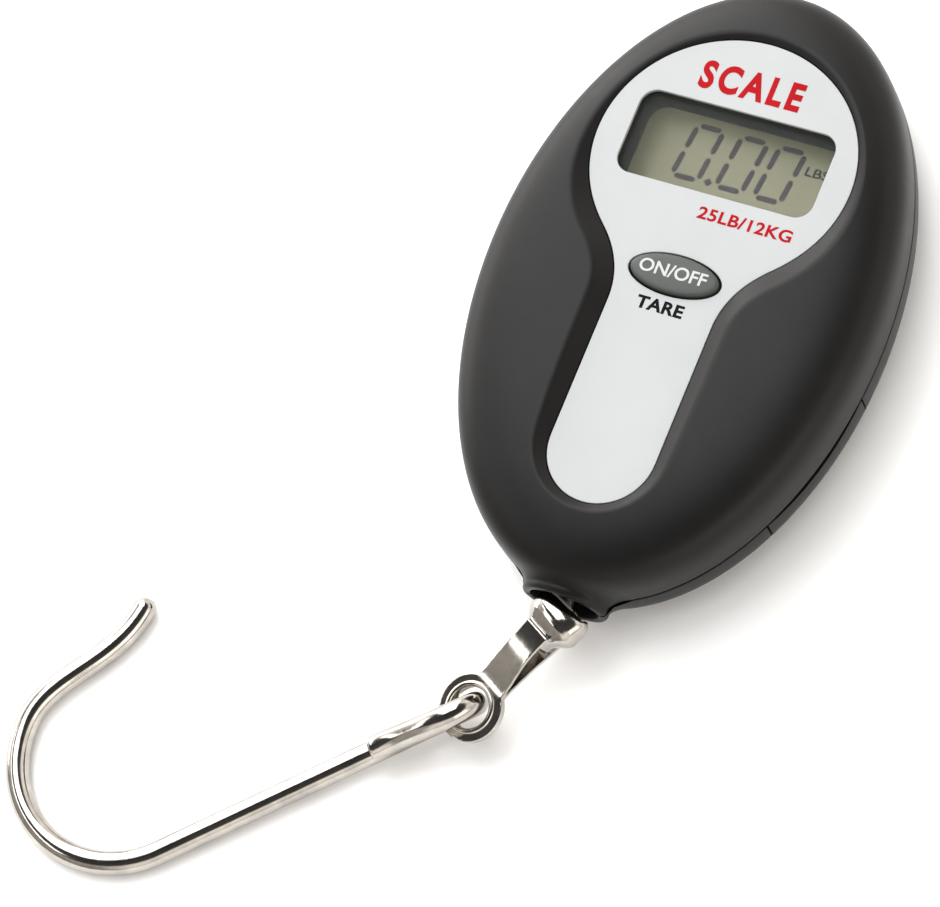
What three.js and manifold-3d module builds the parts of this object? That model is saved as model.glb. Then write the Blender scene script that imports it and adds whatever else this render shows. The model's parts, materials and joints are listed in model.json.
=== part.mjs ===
// Digital hanging scale for fish, lying on its flat back with its hook laid out beside it.
// Millimetres. +Z points out of the display face, +Y from the hook to the display end.
// The origin is the centre of the flat back.

import * as THREE from "three";
import { mergeVertices } from "three/addons/utils/BufferGeometryUtils.js";
import Module from "manifold-3d";

const wasm = await Module();
wasm.setup();

// ---------- driving dimensions ----------

// Case: an elliptical pebble in two halves that meet at the parting plane.
const CASE_HALF_WIDTH = 29.05;
const CASE_HALF_LENGTH = 45.8;
const PARTING_Z = 10;
const PARTING_GAP = 0.3;
const BACK_DEPTH = 10.4;
const BACK_POWER = 3.5;
const FRONT_RISE = 10.35;
const FRONT_POWER = 4.6;
const WALL = 1.9;
const CAVITY_FLOOR_Z = 1.8;
const CAVITY_RISE = 6.6;

// Snout: the elliptical mouth at the hook end.
const SNOUT_END_Y = -47;
const SNOUT_FLATTENING = 0.86;
const MOUTH_HALF_WIDTH = 5;
const MOUTH_START_Y = -39;

// Faceplate: a keyhole plate let into the front shell behind a sloping rim.
const FACE_Z = 18.8;
const FACEPLATE_THICKNESS = 0.6;
const RECESS_FLOOR_Z = 17.9;
const RECESS_GAP = 0.3;
const RIM_WIDTH = 4;
const RIM_RISE = 1.8;
const STEM_HALF = 7.85;
const STEM_END_Y = -26.85;
const NECK_START_Y = -5.95;
const NECK_CORNER_Y = -0.1;
const NECK_ANGLE = -0.82;
const HEAD_Y = 17.95;
const HEAD_HALF_WIDTH = 19.2;
const HEAD_HALF_LENGTH = 18.3;

// Display window, from the faceplate down to the glass.
const WINDOW_Y = 19.05;
const WINDOW_HALF_WIDTH = 14.85;
const WINDOW_HALF_HEIGHT = 6.47;
const WINDOW_CORNER = 2.47;
const GLASS_TOP_Z = 12.3;
const LENS_BOTTOM_Z = 17;
const LENS_TOP_Z = 17.7;

// Button and the switch under it.
const BUTTON_Y = -0.15;
const BUTTON_HALF_WIDTH = 6.75;
const BUTTON_HALF_HEIGHT = 2.85;
const BUTTON_GAP = 0.3;

// Circuit board.
const BOARD_BOTTOM_Z = 7.6;
const BOARD_TOP_Z = 8.8;
const BOARD_HALF_WIDTH = 18.5;
const BOARD_LOW_Y = -3.4;
const BOARD_HIGH_Y = 31;

// Coin cell and its door in the lower right of the back.
const CELL = { x: 12.04, y: -13.97, radius: 10, bottomZ: 4.35, topZ: 7.55 };
const DOOR_TURN = -0.2487;
const DOOR_RADIUS = 10.9;
const DOOR_GAP = 0.15;
const NAIL_GAP = 0.6;

// Far enough to run out past the rim of the case.
const PAST_RIM = 30;

// Case screws.
const SCREW_PLACES = [[22.4, 6], [-22.4, 6], [12.5, -31.5], [-12.5, -31.5]];
const SCREW_HEAD_Z = 3.4;
const SCREW_SEAT_Z = 5.2;
const SCREW_BORE_RADIUS = 1.35;
const SCREW_RECESS_RADIUS = 2.4;
const SCREW_BOSS_RADIUS = 3.2;
const DRIVE_WIDTH = 0.5;
const DRIVE_DEPTH = 0.6;
const DRIVE_REACH = 0.62;

// Load cell block under the stem, pulled along Y.
const BEAM_HALF_WIDTH = 6;
const BEAM_LOW_Y = -38.5;
const BEAM_HIGH_Y = -14.5;
const BEAM_BOTTOM_Z = 9.2;
const BEAM_TOP_Z = 14.2;
const BEAM_SCREW_X = 3.3;
const BEAM_SCREW_Y = -16.7;
const HANGER_SCREW_Y = -36.2;

// Swivel, link and hook.
const PIVOT = new THREE.Vector3(0, -49, 9.8);
const BALL_RADIUS = 1.9;
const STUD_RADIUS = 1.2;
const LINK_LENGTH = 17.3;
const LINK_AZIMUTH = -0.5034;
const LINK_DROOP = 0.2155;
const STRAP = 0.6;
const TAB_RADIUS = 4.8;
const EYELET_RADIUS = 2.9;
const WIRE_RADIUS = 1.7;
const BEND_CENTRE = new THREE.Vector2(-55.5, -84.65);
const BEND_RADIUS = 15.75;
const SHANK_ANGLE = 0.7645;
const SHANK_LENGTH = 46;
const SHANK_LOW_Z = 1.75;
const SHANK_HIGH_Z = 2.3;
const EYE_RADIUS = 3.4;
const EYE_LEAN = 0.4;

// Meshing limits: what counts as on the axis, and the shortest edge kept in an outline.
const ON_AXIS = 1e-3;
const SHORTEST_EDGE = 0.01;

// ---------- solids ----------

function toSolid(geometry) {
  const bare = geometry.clone();
  bare.deleteAttribute("normal");
  bare.deleteAttribute("uv");
  const merged = mergeVertices(bare, 1e-4);
  const places = merged.attributes.position;
  const corners = [0, 1, 2].map(() => new THREE.Vector3());
  const triangles = [];
  let volume = 0;
  for (let i = 0; i < merged.index.count; i += 3) {
    const triangle = [0, 1, 2].map((k) => merged.index.getX(i + k));
    if (new Set(triangle).size < 3) continue;
    triangle.forEach((vertex, k) => corners[k].fromBufferAttribute(places, vertex));
    volume += corners[0].dot(corners[1].clone().cross(corners[2]));
    triangles.push(triangle);
  }
  const outward = volume > 0 ? triangles : triangles.map(([a, b, c]) => [a, c, b]);
  return new wasm.Manifold(new wasm.Mesh({
    numProp: 3,
    vertProperties: new Float32Array(places.array),
    triVerts: new Uint32Array(outward.flat()),
  }));
}

function toGeometry(solid) {
  const mesh = solid.getMesh();
  const geometry = new THREE.BufferGeometry();
  const places = new Float32Array(mesh.vertProperties);
  geometry.setAttribute("position", new THREE.BufferAttribute(places, 3));
  geometry.setIndex(new THREE.BufferAttribute(new Uint32Array(mesh.triVerts), 1));
  geometry.computeVertexNormals();
  return geometry;
}

function union(solids) {
  return solids.reduce((whole, solid) => whole.add(solid));
}

function without(solid, cutters) {
  return cutters.reduce((left, cutter) => left.subtract(cutter), solid);
}

// A flat plate of the given outline between two heights.
function plate(shape, lowZ, highZ, curveSegments = 16) {
  const options = { depth: highZ - lowZ, bevelEnabled: false, curveSegments };
  return toSolid(new THREE.ExtrudeGeometry(shape, options).translate(0, 0, lowZ));
}

function block(lowX, highX, lowY, highY, lowZ, highZ) {
  const box = new THREE.BoxGeometry(highX - lowX, highY - lowY, highZ - lowZ);
  return toSolid(box.translate((lowX + highX) / 2, (lowY + highY) / 2, (lowZ + highZ) / 2));
}

function post(x, y, radius, lowZ, highZ, sides = 16) {
  const cylinder = new THREE.CylinderGeometry(radius, radius, highZ - lowZ, sides);
  return toSolid(cylinder.rotateX(Math.PI / 2).translate(x, y, (lowZ + highZ) / 2));
}

// Turns a profile of [radius, height] pairs about the Z axis.
function turned(profile, sides = 32) {
  const points = profile.map(([radius, height]) => new THREE.Vector2(radius, height));
  return new THREE.LatheGeometry(points, sides).rotateX(Math.PI / 2);
}

function roundedRectangle(halfWidth, halfHeight, corner, centreX = 0, centreY = 0) {
  const right = halfWidth - corner;
  const top = halfHeight - corner;
  const shape = new THREE.Shape();
  shape.absarc(centreX + right, centreY + top, corner, 0, Math.PI / 2, false);
  shape.absarc(centreX - right, centreY + top, corner, Math.PI / 2, Math.PI, false);
  shape.absarc(centreX - right, centreY - top, corner, Math.PI, 1.5 * Math.PI, false);
  shape.absarc(centreX + right, centreY - top, corner, 1.5 * Math.PI, 2 * Math.PI, false);
  shape.closePath();
  return shape;
}

function ellipse(halfWidth, halfHeight, centreY = 0) {
  const shape = new THREE.Shape();
  shape.absellipse(0, centreY, halfWidth, halfHeight, 0, 2 * Math.PI, false);
  return shape;
}

// A bent strip: the centreline in the YZ plane, thickened, then extruded along X.
function bentStrip(centreline, thickness, lowX, highX) {
  const path = new THREE.SplineCurve(centreline.map(([y, z]) => new THREE.Vector2(y, z)));
  const steps = 14;
  const near = [];
  const far = [];
  for (let i = 0; i <= steps; i += 1) {
    const point = path.getPoint(i / steps);
    const tangent = path.getTangent(i / steps);
    const side = new THREE.Vector2(-tangent.y, tangent.x).multiplyScalar(thickness / 2);
    near.push(point.clone().add(side));
    far.unshift(point.clone().sub(side));
  }
  const options = { depth: highX - lowX, bevelEnabled: false };
  const strip = new THREE.ExtrudeGeometry(new THREE.Shape(near.concat(far)), options);
  // The shape's own X and Y become Y and Z, and its depth runs along X.
  const turn = new THREE.Matrix4().set(0, 0, 1, lowX, 1, 0, 0, 0, 0, 1, 0, 0, 0, 0, 0, 1);
  return toSolid(strip.applyMatrix4(turn));
}

// ---------- case ----------

// Superelliptical pebble: cut flat at its back, domed at its front.
function pebble(halfWidth, halfLength, flatZ, backDepth, frontRise, sides, steps) {
  const backReach = Math.min(1, (PARTING_Z - flatZ) / backDepth);
  const backAngle = Math.asin(backReach ** (BACK_POWER / 2));
  const profile = [[0, flatZ]];
  for (let i = 0; i <= steps; i += 1) {
    const angle = backAngle * (1 - i / steps);
    const radius = Math.max(0, Math.cos(angle)) ** (2 / BACK_POWER);
    const height = PARTING_Z - backDepth * Math.sin(angle) ** (2 / BACK_POWER);
    profile.push([radius < ON_AXIS ? 0 : radius, height]);
  }
  for (let i = 1; i < steps; i += 1) {
    const angle = (Math.PI / 2) * (i / steps);
    const radius = Math.cos(angle) ** (2 / FRONT_POWER);
    profile.push([radius, PARTING_Z + frontRise * Math.sin(angle) ** (2 / FRONT_POWER)]);
  }
  profile.push([0, PARTING_Z + frontRise]);
  return toSolid(turned(profile, sides).scale(halfWidth, halfLength, 1));
}

// Turned about the Y axis through the mouth's centre, then flattened.
function snoutPiece(profile) {
  const points = profile.map(([radius, y]) => new THREE.Vector2(radius, y));
  const piece = new THREE.LatheGeometry(points, 28).scale(1, 1, SNOUT_FLATTENING);
  return toSolid(piece.translate(0, 0, PIVOT.z));
}

const snoutOutside = snoutPiece([
  [0, SNOUT_END_Y], [5.6, SNOUT_END_Y], [6.1, SNOUT_END_Y + 0.2], [6.4, SNOUT_END_Y + 0.8],
  [6.45, SNOUT_END_Y + 1.8], [6.9, SNOUT_END_Y + 3], [7.9, SNOUT_END_Y + 4.4], [9, SNOUT_END_Y + 6.5],
  [0, SNOUT_END_Y + 10],
]);
const snoutChannel = snoutPiece([
  [0, SNOUT_END_Y - 2], [MOUTH_HALF_WIDTH, SNOUT_END_Y - 2],
  [MOUTH_HALF_WIDTH, MOUTH_START_Y], [0, MOUTH_START_Y],
]);

const caseOutside = union([
  pebble(CASE_HALF_WIDTH, CASE_HALF_LENGTH, 0, BACK_DEPTH, FRONT_RISE, 56, 8),
  snoutOutside,
]);
const caseInside = union([
  pebble(
    CASE_HALF_WIDTH - WALL, CASE_HALF_LENGTH - WALL,
    CAVITY_FLOOR_Z, PARTING_Z - CAVITY_FLOOR_Z, CAVITY_RISE, 40, 6,
  ),
  snoutChannel,
]);

const REACH = 80;
const frontHalf = block(-REACH, REACH, -REACH, REACH, PARTING_Z + PARTING_GAP / 2, REACH);
const backHalf = block(-REACH, REACH, -REACH, REACH, -REACH, PARTING_Z - PARTING_GAP / 2);

// Keyhole outline: round foot, parallel stem, curved neck and elliptical head.
function keyhole(offset) {
  const neckX = HEAD_HALF_WIDTH * Math.cos(NECK_ANGLE);
  const neckY = HEAD_Y + HEAD_HALF_LENGTH * Math.sin(NECK_ANGLE);
  const outline = new THREE.Shape();
  outline.absarc(0, STEM_END_Y, STEM_HALF, Math.PI, 2 * Math.PI, false);
  outline.lineTo(STEM_HALF, NECK_START_Y);
  outline.quadraticCurveTo(STEM_HALF, NECK_CORNER_Y, neckX, neckY);
  outline.absellipse(
    0, HEAD_Y, HEAD_HALF_WIDTH, HEAD_HALF_LENGTH, NECK_ANGLE, Math.PI - NECK_ANGLE, false,
  );
  outline.quadraticCurveTo(-STEM_HALF, NECK_CORNER_Y, -STEM_HALF, NECK_START_Y);
  const points = outline.getPoints(10).filter((point, i, all) => {
    const next = all[(i + 1) % all.length];
    return point.distanceTo(next) > SHORTEST_EDGE;
  });
  const moved = points.map((point, i) => {
    const before = points[(i + points.length - 1) % points.length];
    const after = points[(i + 1) % points.length];
    const along = after.clone().sub(before).normalize();
    return point.clone().add(new THREE.Vector2(along.y, -along.x).multiplyScalar(offset));
  });
  return new THREE.Shape(moved);
}

// The recess: a straight pocket for the plate, and above it a rim that slopes outwards.
function recess() {
  const rim = new THREE.ExtrudeGeometry(keyhole(RECESS_GAP), {
    depth: 2,
    bevelEnabled: true,
    bevelThickness: RIM_RISE,
    bevelSize: RIM_WIDTH,
    bevelSegments: 1,
  });
  return union([
    plate(keyhole(RECESS_GAP), RECESS_FLOOR_Z, FACE_Z + 0.05),
    toSolid(rim.translate(0, 0, FACE_Z + RIM_RISE)),
  ]);
}

function windowShape(margin) {
  return roundedRectangle(
    WINDOW_HALF_WIDTH + margin, WINDOW_HALF_HEIGHT + margin, WINDOW_CORNER + margin, 0, WINDOW_Y,
  );
}

function buttonShape(margin) {
  return ellipse(BUTTON_HALF_WIDTH + margin, BUTTON_HALF_HEIGHT + margin, BUTTON_Y);
}

const beamPosts = [-BEAM_SCREW_X, BEAM_SCREW_X];

function frontShell() {
  const inserts = union([
    ...SCREW_PLACES.map(([x, y]) => post(x, y, 2.8, PARTING_Z + 0.3, 17)),
    ...beamPosts.map((x) => post(x, BEAM_SCREW_Y, 2.4, BEAM_TOP_Z + 0.1, 17.4)),
    plate(roundedRectangle(16.5, 8.2, 2.5, 0, WINDOW_Y), 15.4, 18),
  ]).intersect(caseOutside);
  const walls = caseOutside.intersect(frontHalf).subtract(caseInside).add(inserts);
  return without(walls, [
    recess(),
    plate(windowShape(0.25), 12, FACE_Z),
    plate(roundedRectangle(16, 7.6, 1.2, 0, WINDOW_Y), LENS_BOTTOM_Z - 0.15, FACE_Z),
    plate(buttonShape(BUTTON_GAP), 12, FACE_Z),
    ...SCREW_PLACES.map(([x, y]) => post(x, y, SCREW_BORE_RADIUS, 9, 14.6)),
    ...beamPosts.map((x) => post(x, BEAM_SCREW_Y, 1.45, 13, 16.6)),
  ]);
}

// The door's outline: a round inner end, running out past the rim of the case.
function doorPrism(radius, lowZ, highZ) {
  const outline = new THREE.Shape();
  outline.absarc(0, 0, radius, Math.PI / 2, 1.5 * Math.PI, false);
  outline.lineTo(PAST_RIM, -radius);
  outline.lineTo(PAST_RIM, radius);
  outline.closePath();
  const options = { depth: highZ - lowZ, bevelEnabled: false, curveSegments: 20 };
  const prism = new THREE.ExtrudeGeometry(outline, options);
  return toSolid(prism.rotateZ(DOOR_TURN).translate(CELL.x, CELL.y, lowZ));
}

function rearShell() {
  const bosses = union(SCREW_PLACES.map(([x, y]) => post(x, y, SCREW_BOSS_RADIUS, 0.5, PARTING_Z - 0.3)))
    .intersect(caseOutside);
  const walls = caseOutside.intersect(backHalf).subtract(caseInside).add(bosses);
  return without(walls, [
    doorPrism(DOOR_RADIUS + DOOR_GAP, -1, PARTING_Z),
    ...SCREW_PLACES.map(([x, y]) => post(x, y, SCREW_RECESS_RADIUS, -1, SCREW_SEAT_Z)),
    ...SCREW_PLACES.map(([x, y]) => post(x, y, SCREW_BORE_RADIUS, SCREW_SEAT_Z - 1, PARTING_Z)),
  ]);
}

// The door keeps the case's own curve. A crescent is cut from its rim for a fingernail.
function batteryDoor() {
  const crescentRadius = (DOOR_RADIUS ** 2 + NAIL_GAP ** 2) / (2 * NAIL_GAP);
  const crescent = new THREE.Shape();
  const reach = Math.asin(DOOR_RADIUS / crescentRadius);
  const top = PARTING_Z - PARTING_GAP / 2;
  const centreZ = top - NAIL_GAP + crescentRadius;
  crescent.absarc(0, centreZ, crescentRadius, -Math.PI / 2 - reach, -Math.PI / 2 + reach);
  crescent.closePath();
  const options = { depth: PAST_RIM, bevelEnabled: false, curveSegments: 24 };
  const nail = new THREE.ExtrudeGeometry(crescent, options)
    .rotateX(Math.PI / 2)
    .rotateZ(Math.PI / 2)
    .rotateZ(DOOR_TURN)
    .translate(CELL.x, CELL.y, 0);
  const tongue = block(-DOOR_RADIUS - 1.5, -DOOR_RADIUS + 1.8, -2.5, 2.5, 1.95, 2.95);
  const bridge = block(-DOOR_RADIUS + 0.3, -DOOR_RADIUS + 1.8, -2.5, 2.5, 1, 2.95);
  const hingeTab = union([tongue, bridge])
    .rotate([0, 0, THREE.MathUtils.radToDeg(DOOR_TURN)])
    .translate([CELL.x, CELL.y, 0.2]);
  return caseOutside.intersect(backHalf)
    .subtract(caseInside)
    .intersect(doorPrism(DOOR_RADIUS - DOOR_GAP, -1, PARTING_Z))
    .subtract(toSolid(nail))
    .add(hingeTab);
}

// ---------- face and display ----------

function faceplate() {
  const outline = keyhole(0);
  outline.holes.push(windowShape(0), buttonShape(BUTTON_GAP));
  return plate(outline, FACE_Z - FACEPLATE_THICKNESS, FACE_Z);
}

function windowLens() {
  return plate(roundedRectangle(15.8, 7.4, 1, 0, WINDOW_Y), LENS_BOTTOM_Z, LENS_TOP_Z, 6);
}

// Holds the display glass down on the board, with a dark tunnel up to the window.
function lcdFrame() {
  const body = union([
    plate(roundedRectangle(18, 10.2, 1.5, 0, WINDOW_Y), BOARD_TOP_Z + 0.1, GLASS_TOP_Z + 0.4, 6),
    plate(roundedRectangle(16.4, 8.1, 2, 0, WINDOW_Y), GLASS_TOP_Z, 15.2, 6),
  ]);
  return without(body, [
    plate(windowShape(0.3), BOARD_TOP_Z, 16),
    plate(roundedRectangle(16.9, 9, 0.5, 0, WINDOW_Y), BOARD_TOP_Z, GLASS_TOP_Z + 0.1, 6),
  ]);
}

function buttonCap() {
  const profile = [[0, 16], [1, 16], [1, 18.9], [0.97, 19.15], [0.88, 19.3], [0.6, 19.42], [0, 19.5]];
  const crown = turned(profile, 40)
    .scale(BUTTON_HALF_WIDTH, BUTTON_HALF_HEIGHT, 1)
    .translate(0, BUTTON_Y, 0);
  return union([
    toSolid(crown),
    plate(ellipse(8.2, 4.3, BUTTON_Y), 15, 16.2),
    post(0, BUTTON_Y, 1.8, 13.4, 15.5, 20),
  ]);
}

function switchBody() {
  return block(-3, 3, BUTTON_Y - 3, BUTTON_Y + 3, BOARD_TOP_Z + 0.1, 12.3)
    .subtract(post(0, BUTTON_Y, 2, 11.4, 13));
}

// ---------- load path ----------

// S-shaped block: two opposed slots leave a middle that bends, thinned by a double hole.
function loadCell() {
  const slot = 1;
  const slotEnd = 3.2;
  const bar = block(
    -BEAM_HALF_WIDTH, BEAM_HALF_WIDTH, BEAM_LOW_Y, BEAM_HIGH_Y, BEAM_BOTTOM_Z, BEAM_TOP_Z,
  );
  return without(bar, [
    block(-slotEnd, REACH, -20, -20 + slot, 0, 20),
    block(-REACH, slotEnd, -34, -34 + slot, 0, 20),
    block(-slot / 2, slot / 2, -29, -25, 0, 20),
    post(0, -25, 1.9, 0, 20),
    post(0, -29, 1.9, 0, 20),
    post(0, HANGER_SCREW_Y, 1.55, 0, 20),
    ...beamPosts.map((x) => post(x, BEAM_SCREW_Y, 1.45, 0, 20)),
  ]);
}

function screw(x, y, headRadius, headLowZ, headHeight, shankRadius, tipZ) {
  const head = post(x, y, headRadius, headLowZ, headLowZ + headHeight);
  const shank = post(x, y, shankRadius, headLowZ + 0.5, tipZ, 12);
  const low = headLowZ - 1;
  const deep = headLowZ + DRIVE_DEPTH;
  const half = DRIVE_WIDTH / 2;
  const slot = block(x - headRadius, x + headRadius, y - half, y + half, low, deep);
  const crossSlot = block(x - half, x + half, y - headRadius, y + headRadius, low, deep);
  const reach = post(x, y, headRadius * DRIVE_REACH, low, deep, 12);
  return head.add(shank).subtract(slot.add(crossSlot).intersect(reach));
}

// Stepped bracket under the load cell, with an upright that the swivel stud passes through.
function hangerBracket() {
  const body = union([
    block(-3.2, 3.2, -42.2, -41, 6.2, 12.8),
    block(-3.2, 3.2, -42.2, -38.1, 6.2, 7.4),
    block(-3.2, 3.2, -39.3, -38.1, 6.2, 8.9),
    block(-3.2, 3.2, -39.3, -34.4, 7.7, 8.9),
  ]);
  const studHole = new THREE.CylinderGeometry(1.5, 1.5, 6, 24).translate(0, -41.6, PIVOT.z);
  return without(body, [toSolid(studHole), post(0, HANGER_SCREW_Y, 1.55, 7, 10)]);
}

function swivelStud() {
  const profile = [[0, PIVOT.y - BALL_RADIUS]];
  const steps = 8;
  const shankAngle = Math.asin(STUD_RADIUS / BALL_RADIUS);
  for (let i = 1; i <= steps; i += 1) {
    const angle = (Math.PI - shankAngle) * (i / steps);
    profile.push([BALL_RADIUS * Math.sin(angle), PIVOT.y - BALL_RADIUS * Math.cos(angle)]);
  }
  profile.push([STUD_RADIUS, -40.8], [2.2, -40.8], [2.2, -40], [1.6, -39.5], [0, -39.5]);
  const points = profile.map(([radius, y]) => new THREE.Vector2(radius, y));
  return toSolid(new THREE.LatheGeometry(points, 28).translate(0, 0, PIVOT.z));
}

// Barrel turned about X with a superelliptical outline.
function barrel(radius, halfLength) {
  const steps = 10;
  const power = 4;
  const points = [new THREE.Vector2(0, -halfLength)];
  for (let i = 1; i < steps; i += 1) {
    const angle = Math.PI * (i / steps) - Math.PI / 2;
    const along = Math.sign(Math.sin(angle)) * Math.abs(Math.sin(angle)) ** (2 / power);
    points.push(new THREE.Vector2(radius * Math.cos(angle) ** (2 / power), halfLength * along));
  }
  points.push(new THREE.Vector2(0, halfLength));
  return toSolid(new THREE.LatheGeometry(points, 20).rotateZ(Math.PI / 2));
}

// One folded strap. Its own origin is the ball's centre, and it hangs along -Y.
function linkStrap() {
  const cup = without(barrel(2.9, 4.3), [
    barrel(2.3, 3.8),
    block(-3.5, 3.5, 0, 4, -2.15, 1.5),
    block(-REACH, REACH, -4, -0.9, -1.75, 1.75),
    toSolid(new THREE.CylinderGeometry(1.3, 1.3, 12, 20).rotateZ(Math.PI / 2)),
  ]);
  const frontLine = [
    [-0.3, 2.6], [-2.2, 2.55], [-4.6, 2.9], [-7, 2.5], [-9.6, 1.3], [-12, 0.42], [-14.2, 0.3],
  ];
  const backLine = [[-0.3, -2.6], [-3, -2.35], [-7, -1.6], [-12, -0.45], [-14.2, -0.3]];
  const front = bentStrip(frontLine, STRAP, -4, 4);
  const back = bentStrip(backLine, STRAP, -4, 4);
  const width = new THREE.Shape();
  width.moveTo(-3.4, 0);
  width.bezierCurveTo(-3.3, -2, -2.1, -2.6, -2.1, -5);
  width.bezierCurveTo(-2.1, -8, -2.5, -11, -2.6, -15);
  width.lineTo(2.6, -15);
  width.bezierCurveTo(2.5, -11, 2.1, -8, 2.1, -5);
  width.bezierCurveTo(2.1, -2.6, 3.3, -2, 3.4, 0);
  width.closePath();
  const straps = front.add(back).intersect(plate(width, -5, 5, 8));
  const tab = post(0, -LINK_LENGTH, TAB_RADIUS, -STRAP, STRAP, 40);
  const whole = union([cup, straps, tab]);
  return whole.subtract(post(0, -LINK_LENGTH, EYELET_RADIUS + 0.45, -2, 2, 32));
}

function linkEyelet() {
  const tube = EYELET_RADIUS + 0.3;
  const lip = EYELET_RADIUS + 0.85;
  const inner = STRAP + 0.1;
  const outer = STRAP + 0.4;
  const profile = [
    [EYELET_RADIUS, -outer + 0.15], [EYELET_RADIUS + 0.2, -outer], [lip - 0.2, -outer], [lip, -inner],
    [tube, -inner], [tube, inner], [lip, inner], [lip - 0.2, outer], [EYELET_RADIUS + 0.2, outer],
    [EYELET_RADIUS, outer - 0.15], [EYELET_RADIUS, -outer + 0.15],
  ];
  return toSolid(turned(profile, 32).translate(0, -LINK_LENGTH, 0));
}

// Hook wire: curved point, round bend, straight shank, then an upright eye folded back on the shank.
class FlatArc extends THREE.Curve {
  constructor(centre, radius, startAngle, endAngle, z) {
    super();
    Object.assign(this, { centre, radius, startAngle, endAngle, z });
  }

  getPoint(t, target = new THREE.Vector3()) {
    const angle = this.startAngle + t * (this.endAngle - this.startAngle);
    const x = this.centre.x + this.radius * Math.cos(angle);
    return target.set(x, this.centre.y + this.radius * Math.sin(angle), this.z);
  }
}

class EyeArc extends THREE.Curve {
  constructor(start, along, up, radius) {
    super();
    Object.assign(this, { start, along, up, radius });
  }

  getPoint(t, target = new THREE.Vector3()) {
    const angle = Math.PI * t;
    target.copy(this.start).addScaledVector(this.along, this.radius * Math.sin(angle));
    return target.addScaledVector(this.up, this.radius * (1 - Math.cos(angle)));
  }
}

function hookPath() {
  const along = new THREE.Vector3(Math.cos(SHANK_ANGLE), Math.sin(SHANK_ANGLE), 0);
  const side = new THREE.Vector3(along.y, -along.x, 0);
  const low = SHANK_LOW_Z;
  const bendStart = new THREE.Vector3(BEND_CENTRE.x - BEND_RADIUS, BEND_CENTRE.y, low);
  const tip = bendStart.clone().add(new THREE.Vector3(9.75, 22.3, 0));
  const bendCentre = new THREE.Vector3(BEND_CENTRE.x, BEND_CENTRE.y, low);
  const shankStart = bendCentre.clone().addScaledVector(side, BEND_RADIUS);
  const shankEnd = shankStart.clone().addScaledVector(along, SHANK_LENGTH).setZ(SHANK_HIGH_Z);
  const up = new THREE.Vector3(0, 0, Math.cos(EYE_LEAN)).addScaledVector(side, Math.sin(EYE_LEAN));
  const eyeTop = shankEnd.clone().addScaledVector(up, 2 * EYE_RADIUS);
  const returnEnd = shankEnd.clone().addScaledVector(along, -12.7).addScaledVector(side, 0.95);
  returnEnd.z += 3.25;
  const path = new THREE.CurvePath();
  const tipControl = tip.clone().add(new THREE.Vector3(0, -10, 0));
  const bendControl = bendStart.clone().add(new THREE.Vector3(0, 8, 0));
  path.add(new THREE.CubicBezierCurve3(tip, tipControl, bendControl, bendStart));
  path.add(new FlatArc(BEND_CENTRE, BEND_RADIUS, Math.PI, 1.5 * Math.PI + SHANK_ANGLE, low));
  path.add(new THREE.LineCurve3(shankStart, shankEnd));
  path.add(new EyeArc(shankEnd, along, up, EYE_RADIUS));
  const eyeControl = eyeTop.clone().addScaledVector(along, -4.5);
  const endControl = returnEnd.clone().addScaledVector(along, 5);
  path.add(new THREE.CubicBezierCurve3(eyeTop, eyeControl, endControl, returnEnd));
  return path;
}

function hook() {
  const section = new THREE.Shape();
  section.absarc(0, 0, WIRE_RADIUS, 0, 2 * Math.PI, false);
  const options = { steps: 96, curveSegments: 5, extrudePath: hookPath() };
  return toSolid(new THREE.ExtrudeGeometry(section, options));
}

// ---------- battery and wiring ----------

// Three-quarter ring round the coin cell, open towards the rim of the case.
function batteryHolder() {
  const open = 0.95;
  const inner = CELL.radius + 0.35;
  const outer = CELL.radius + 1.7;
  const ring = new THREE.Shape();
  ring.absarc(0, 0, outer, open, 2 * Math.PI - open, false);
  ring.absarc(0, 0, inner, 2 * Math.PI - open, open, true);
  ring.closePath();
  const height = 3.05;
  const wall = new THREE.ExtrudeGeometry(ring, { depth: height, bevelEnabled: false, curveSegments: 20 });
  return toSolid(wall.rotateZ(DOOR_TURN).translate(CELL.x, CELL.y, CELL.bottomZ));
}

// Turns a piece laid out around the cell into place in the case.
function besideCell(solid) {
  return solid.rotate([0, 0, THREE.MathUtils.radToDeg(DOOR_TURN)]).translate([CELL.x, CELL.y, 0]);
}

function contactNegative() {
  const centreline = [[-14, 8.5], [-8, 8.5], [-3, 8.3], [1, 7.95], [4, 8.05], [6, 8.4]];
  return besideCell(bentStrip(centreline, 0.4, -2.5, 2.5).rotate([0, 0, -90]));
}

function contactPositive() {
  return besideCell(union([
    block(10.2, 10.6, -2, 2, 4.8, 8.2),
    block(7.4, 10.6, -2, 2, 7.8, 8.2),
  ]));
}

function lead(points) {
  const path = new THREE.CatmullRomCurve3(points.map(([x, y, z]) => new THREE.Vector3(x, y, z)));
  const section = new THREE.Shape();
  section.absarc(0, 0, 0.5, 0, 2 * Math.PI, false);
  const options = { steps: 14, curveSegments: 4, extrudePath: path };
  return toSolid(new THREE.ExtrudeGeometry(section, options));
}

// ---------- materials ----------

function material(color, roughness, metalness) {
  return new THREE.MeshStandardMaterial({ color, roughness, metalness });
}

const softBlack = () => material(0x2b2a2b, 0.55, 0);
const darkPlastic = () => material(0x15181c, 0.6, 0);
const steel = () => material(0xc8c4bc, 0.28, 1);
const nickel = () => material(0xd6d0c4, 0.15, 1);

// ---------- assembly ----------

const scale = new THREE.Group();
scale.name = "digital_fish_scale";

function addPart(parent, name, solid, look) {
  const mesh = new THREE.Mesh(toGeometry(solid), look);
  mesh.name = name;
  parent.add(mesh);
}

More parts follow.
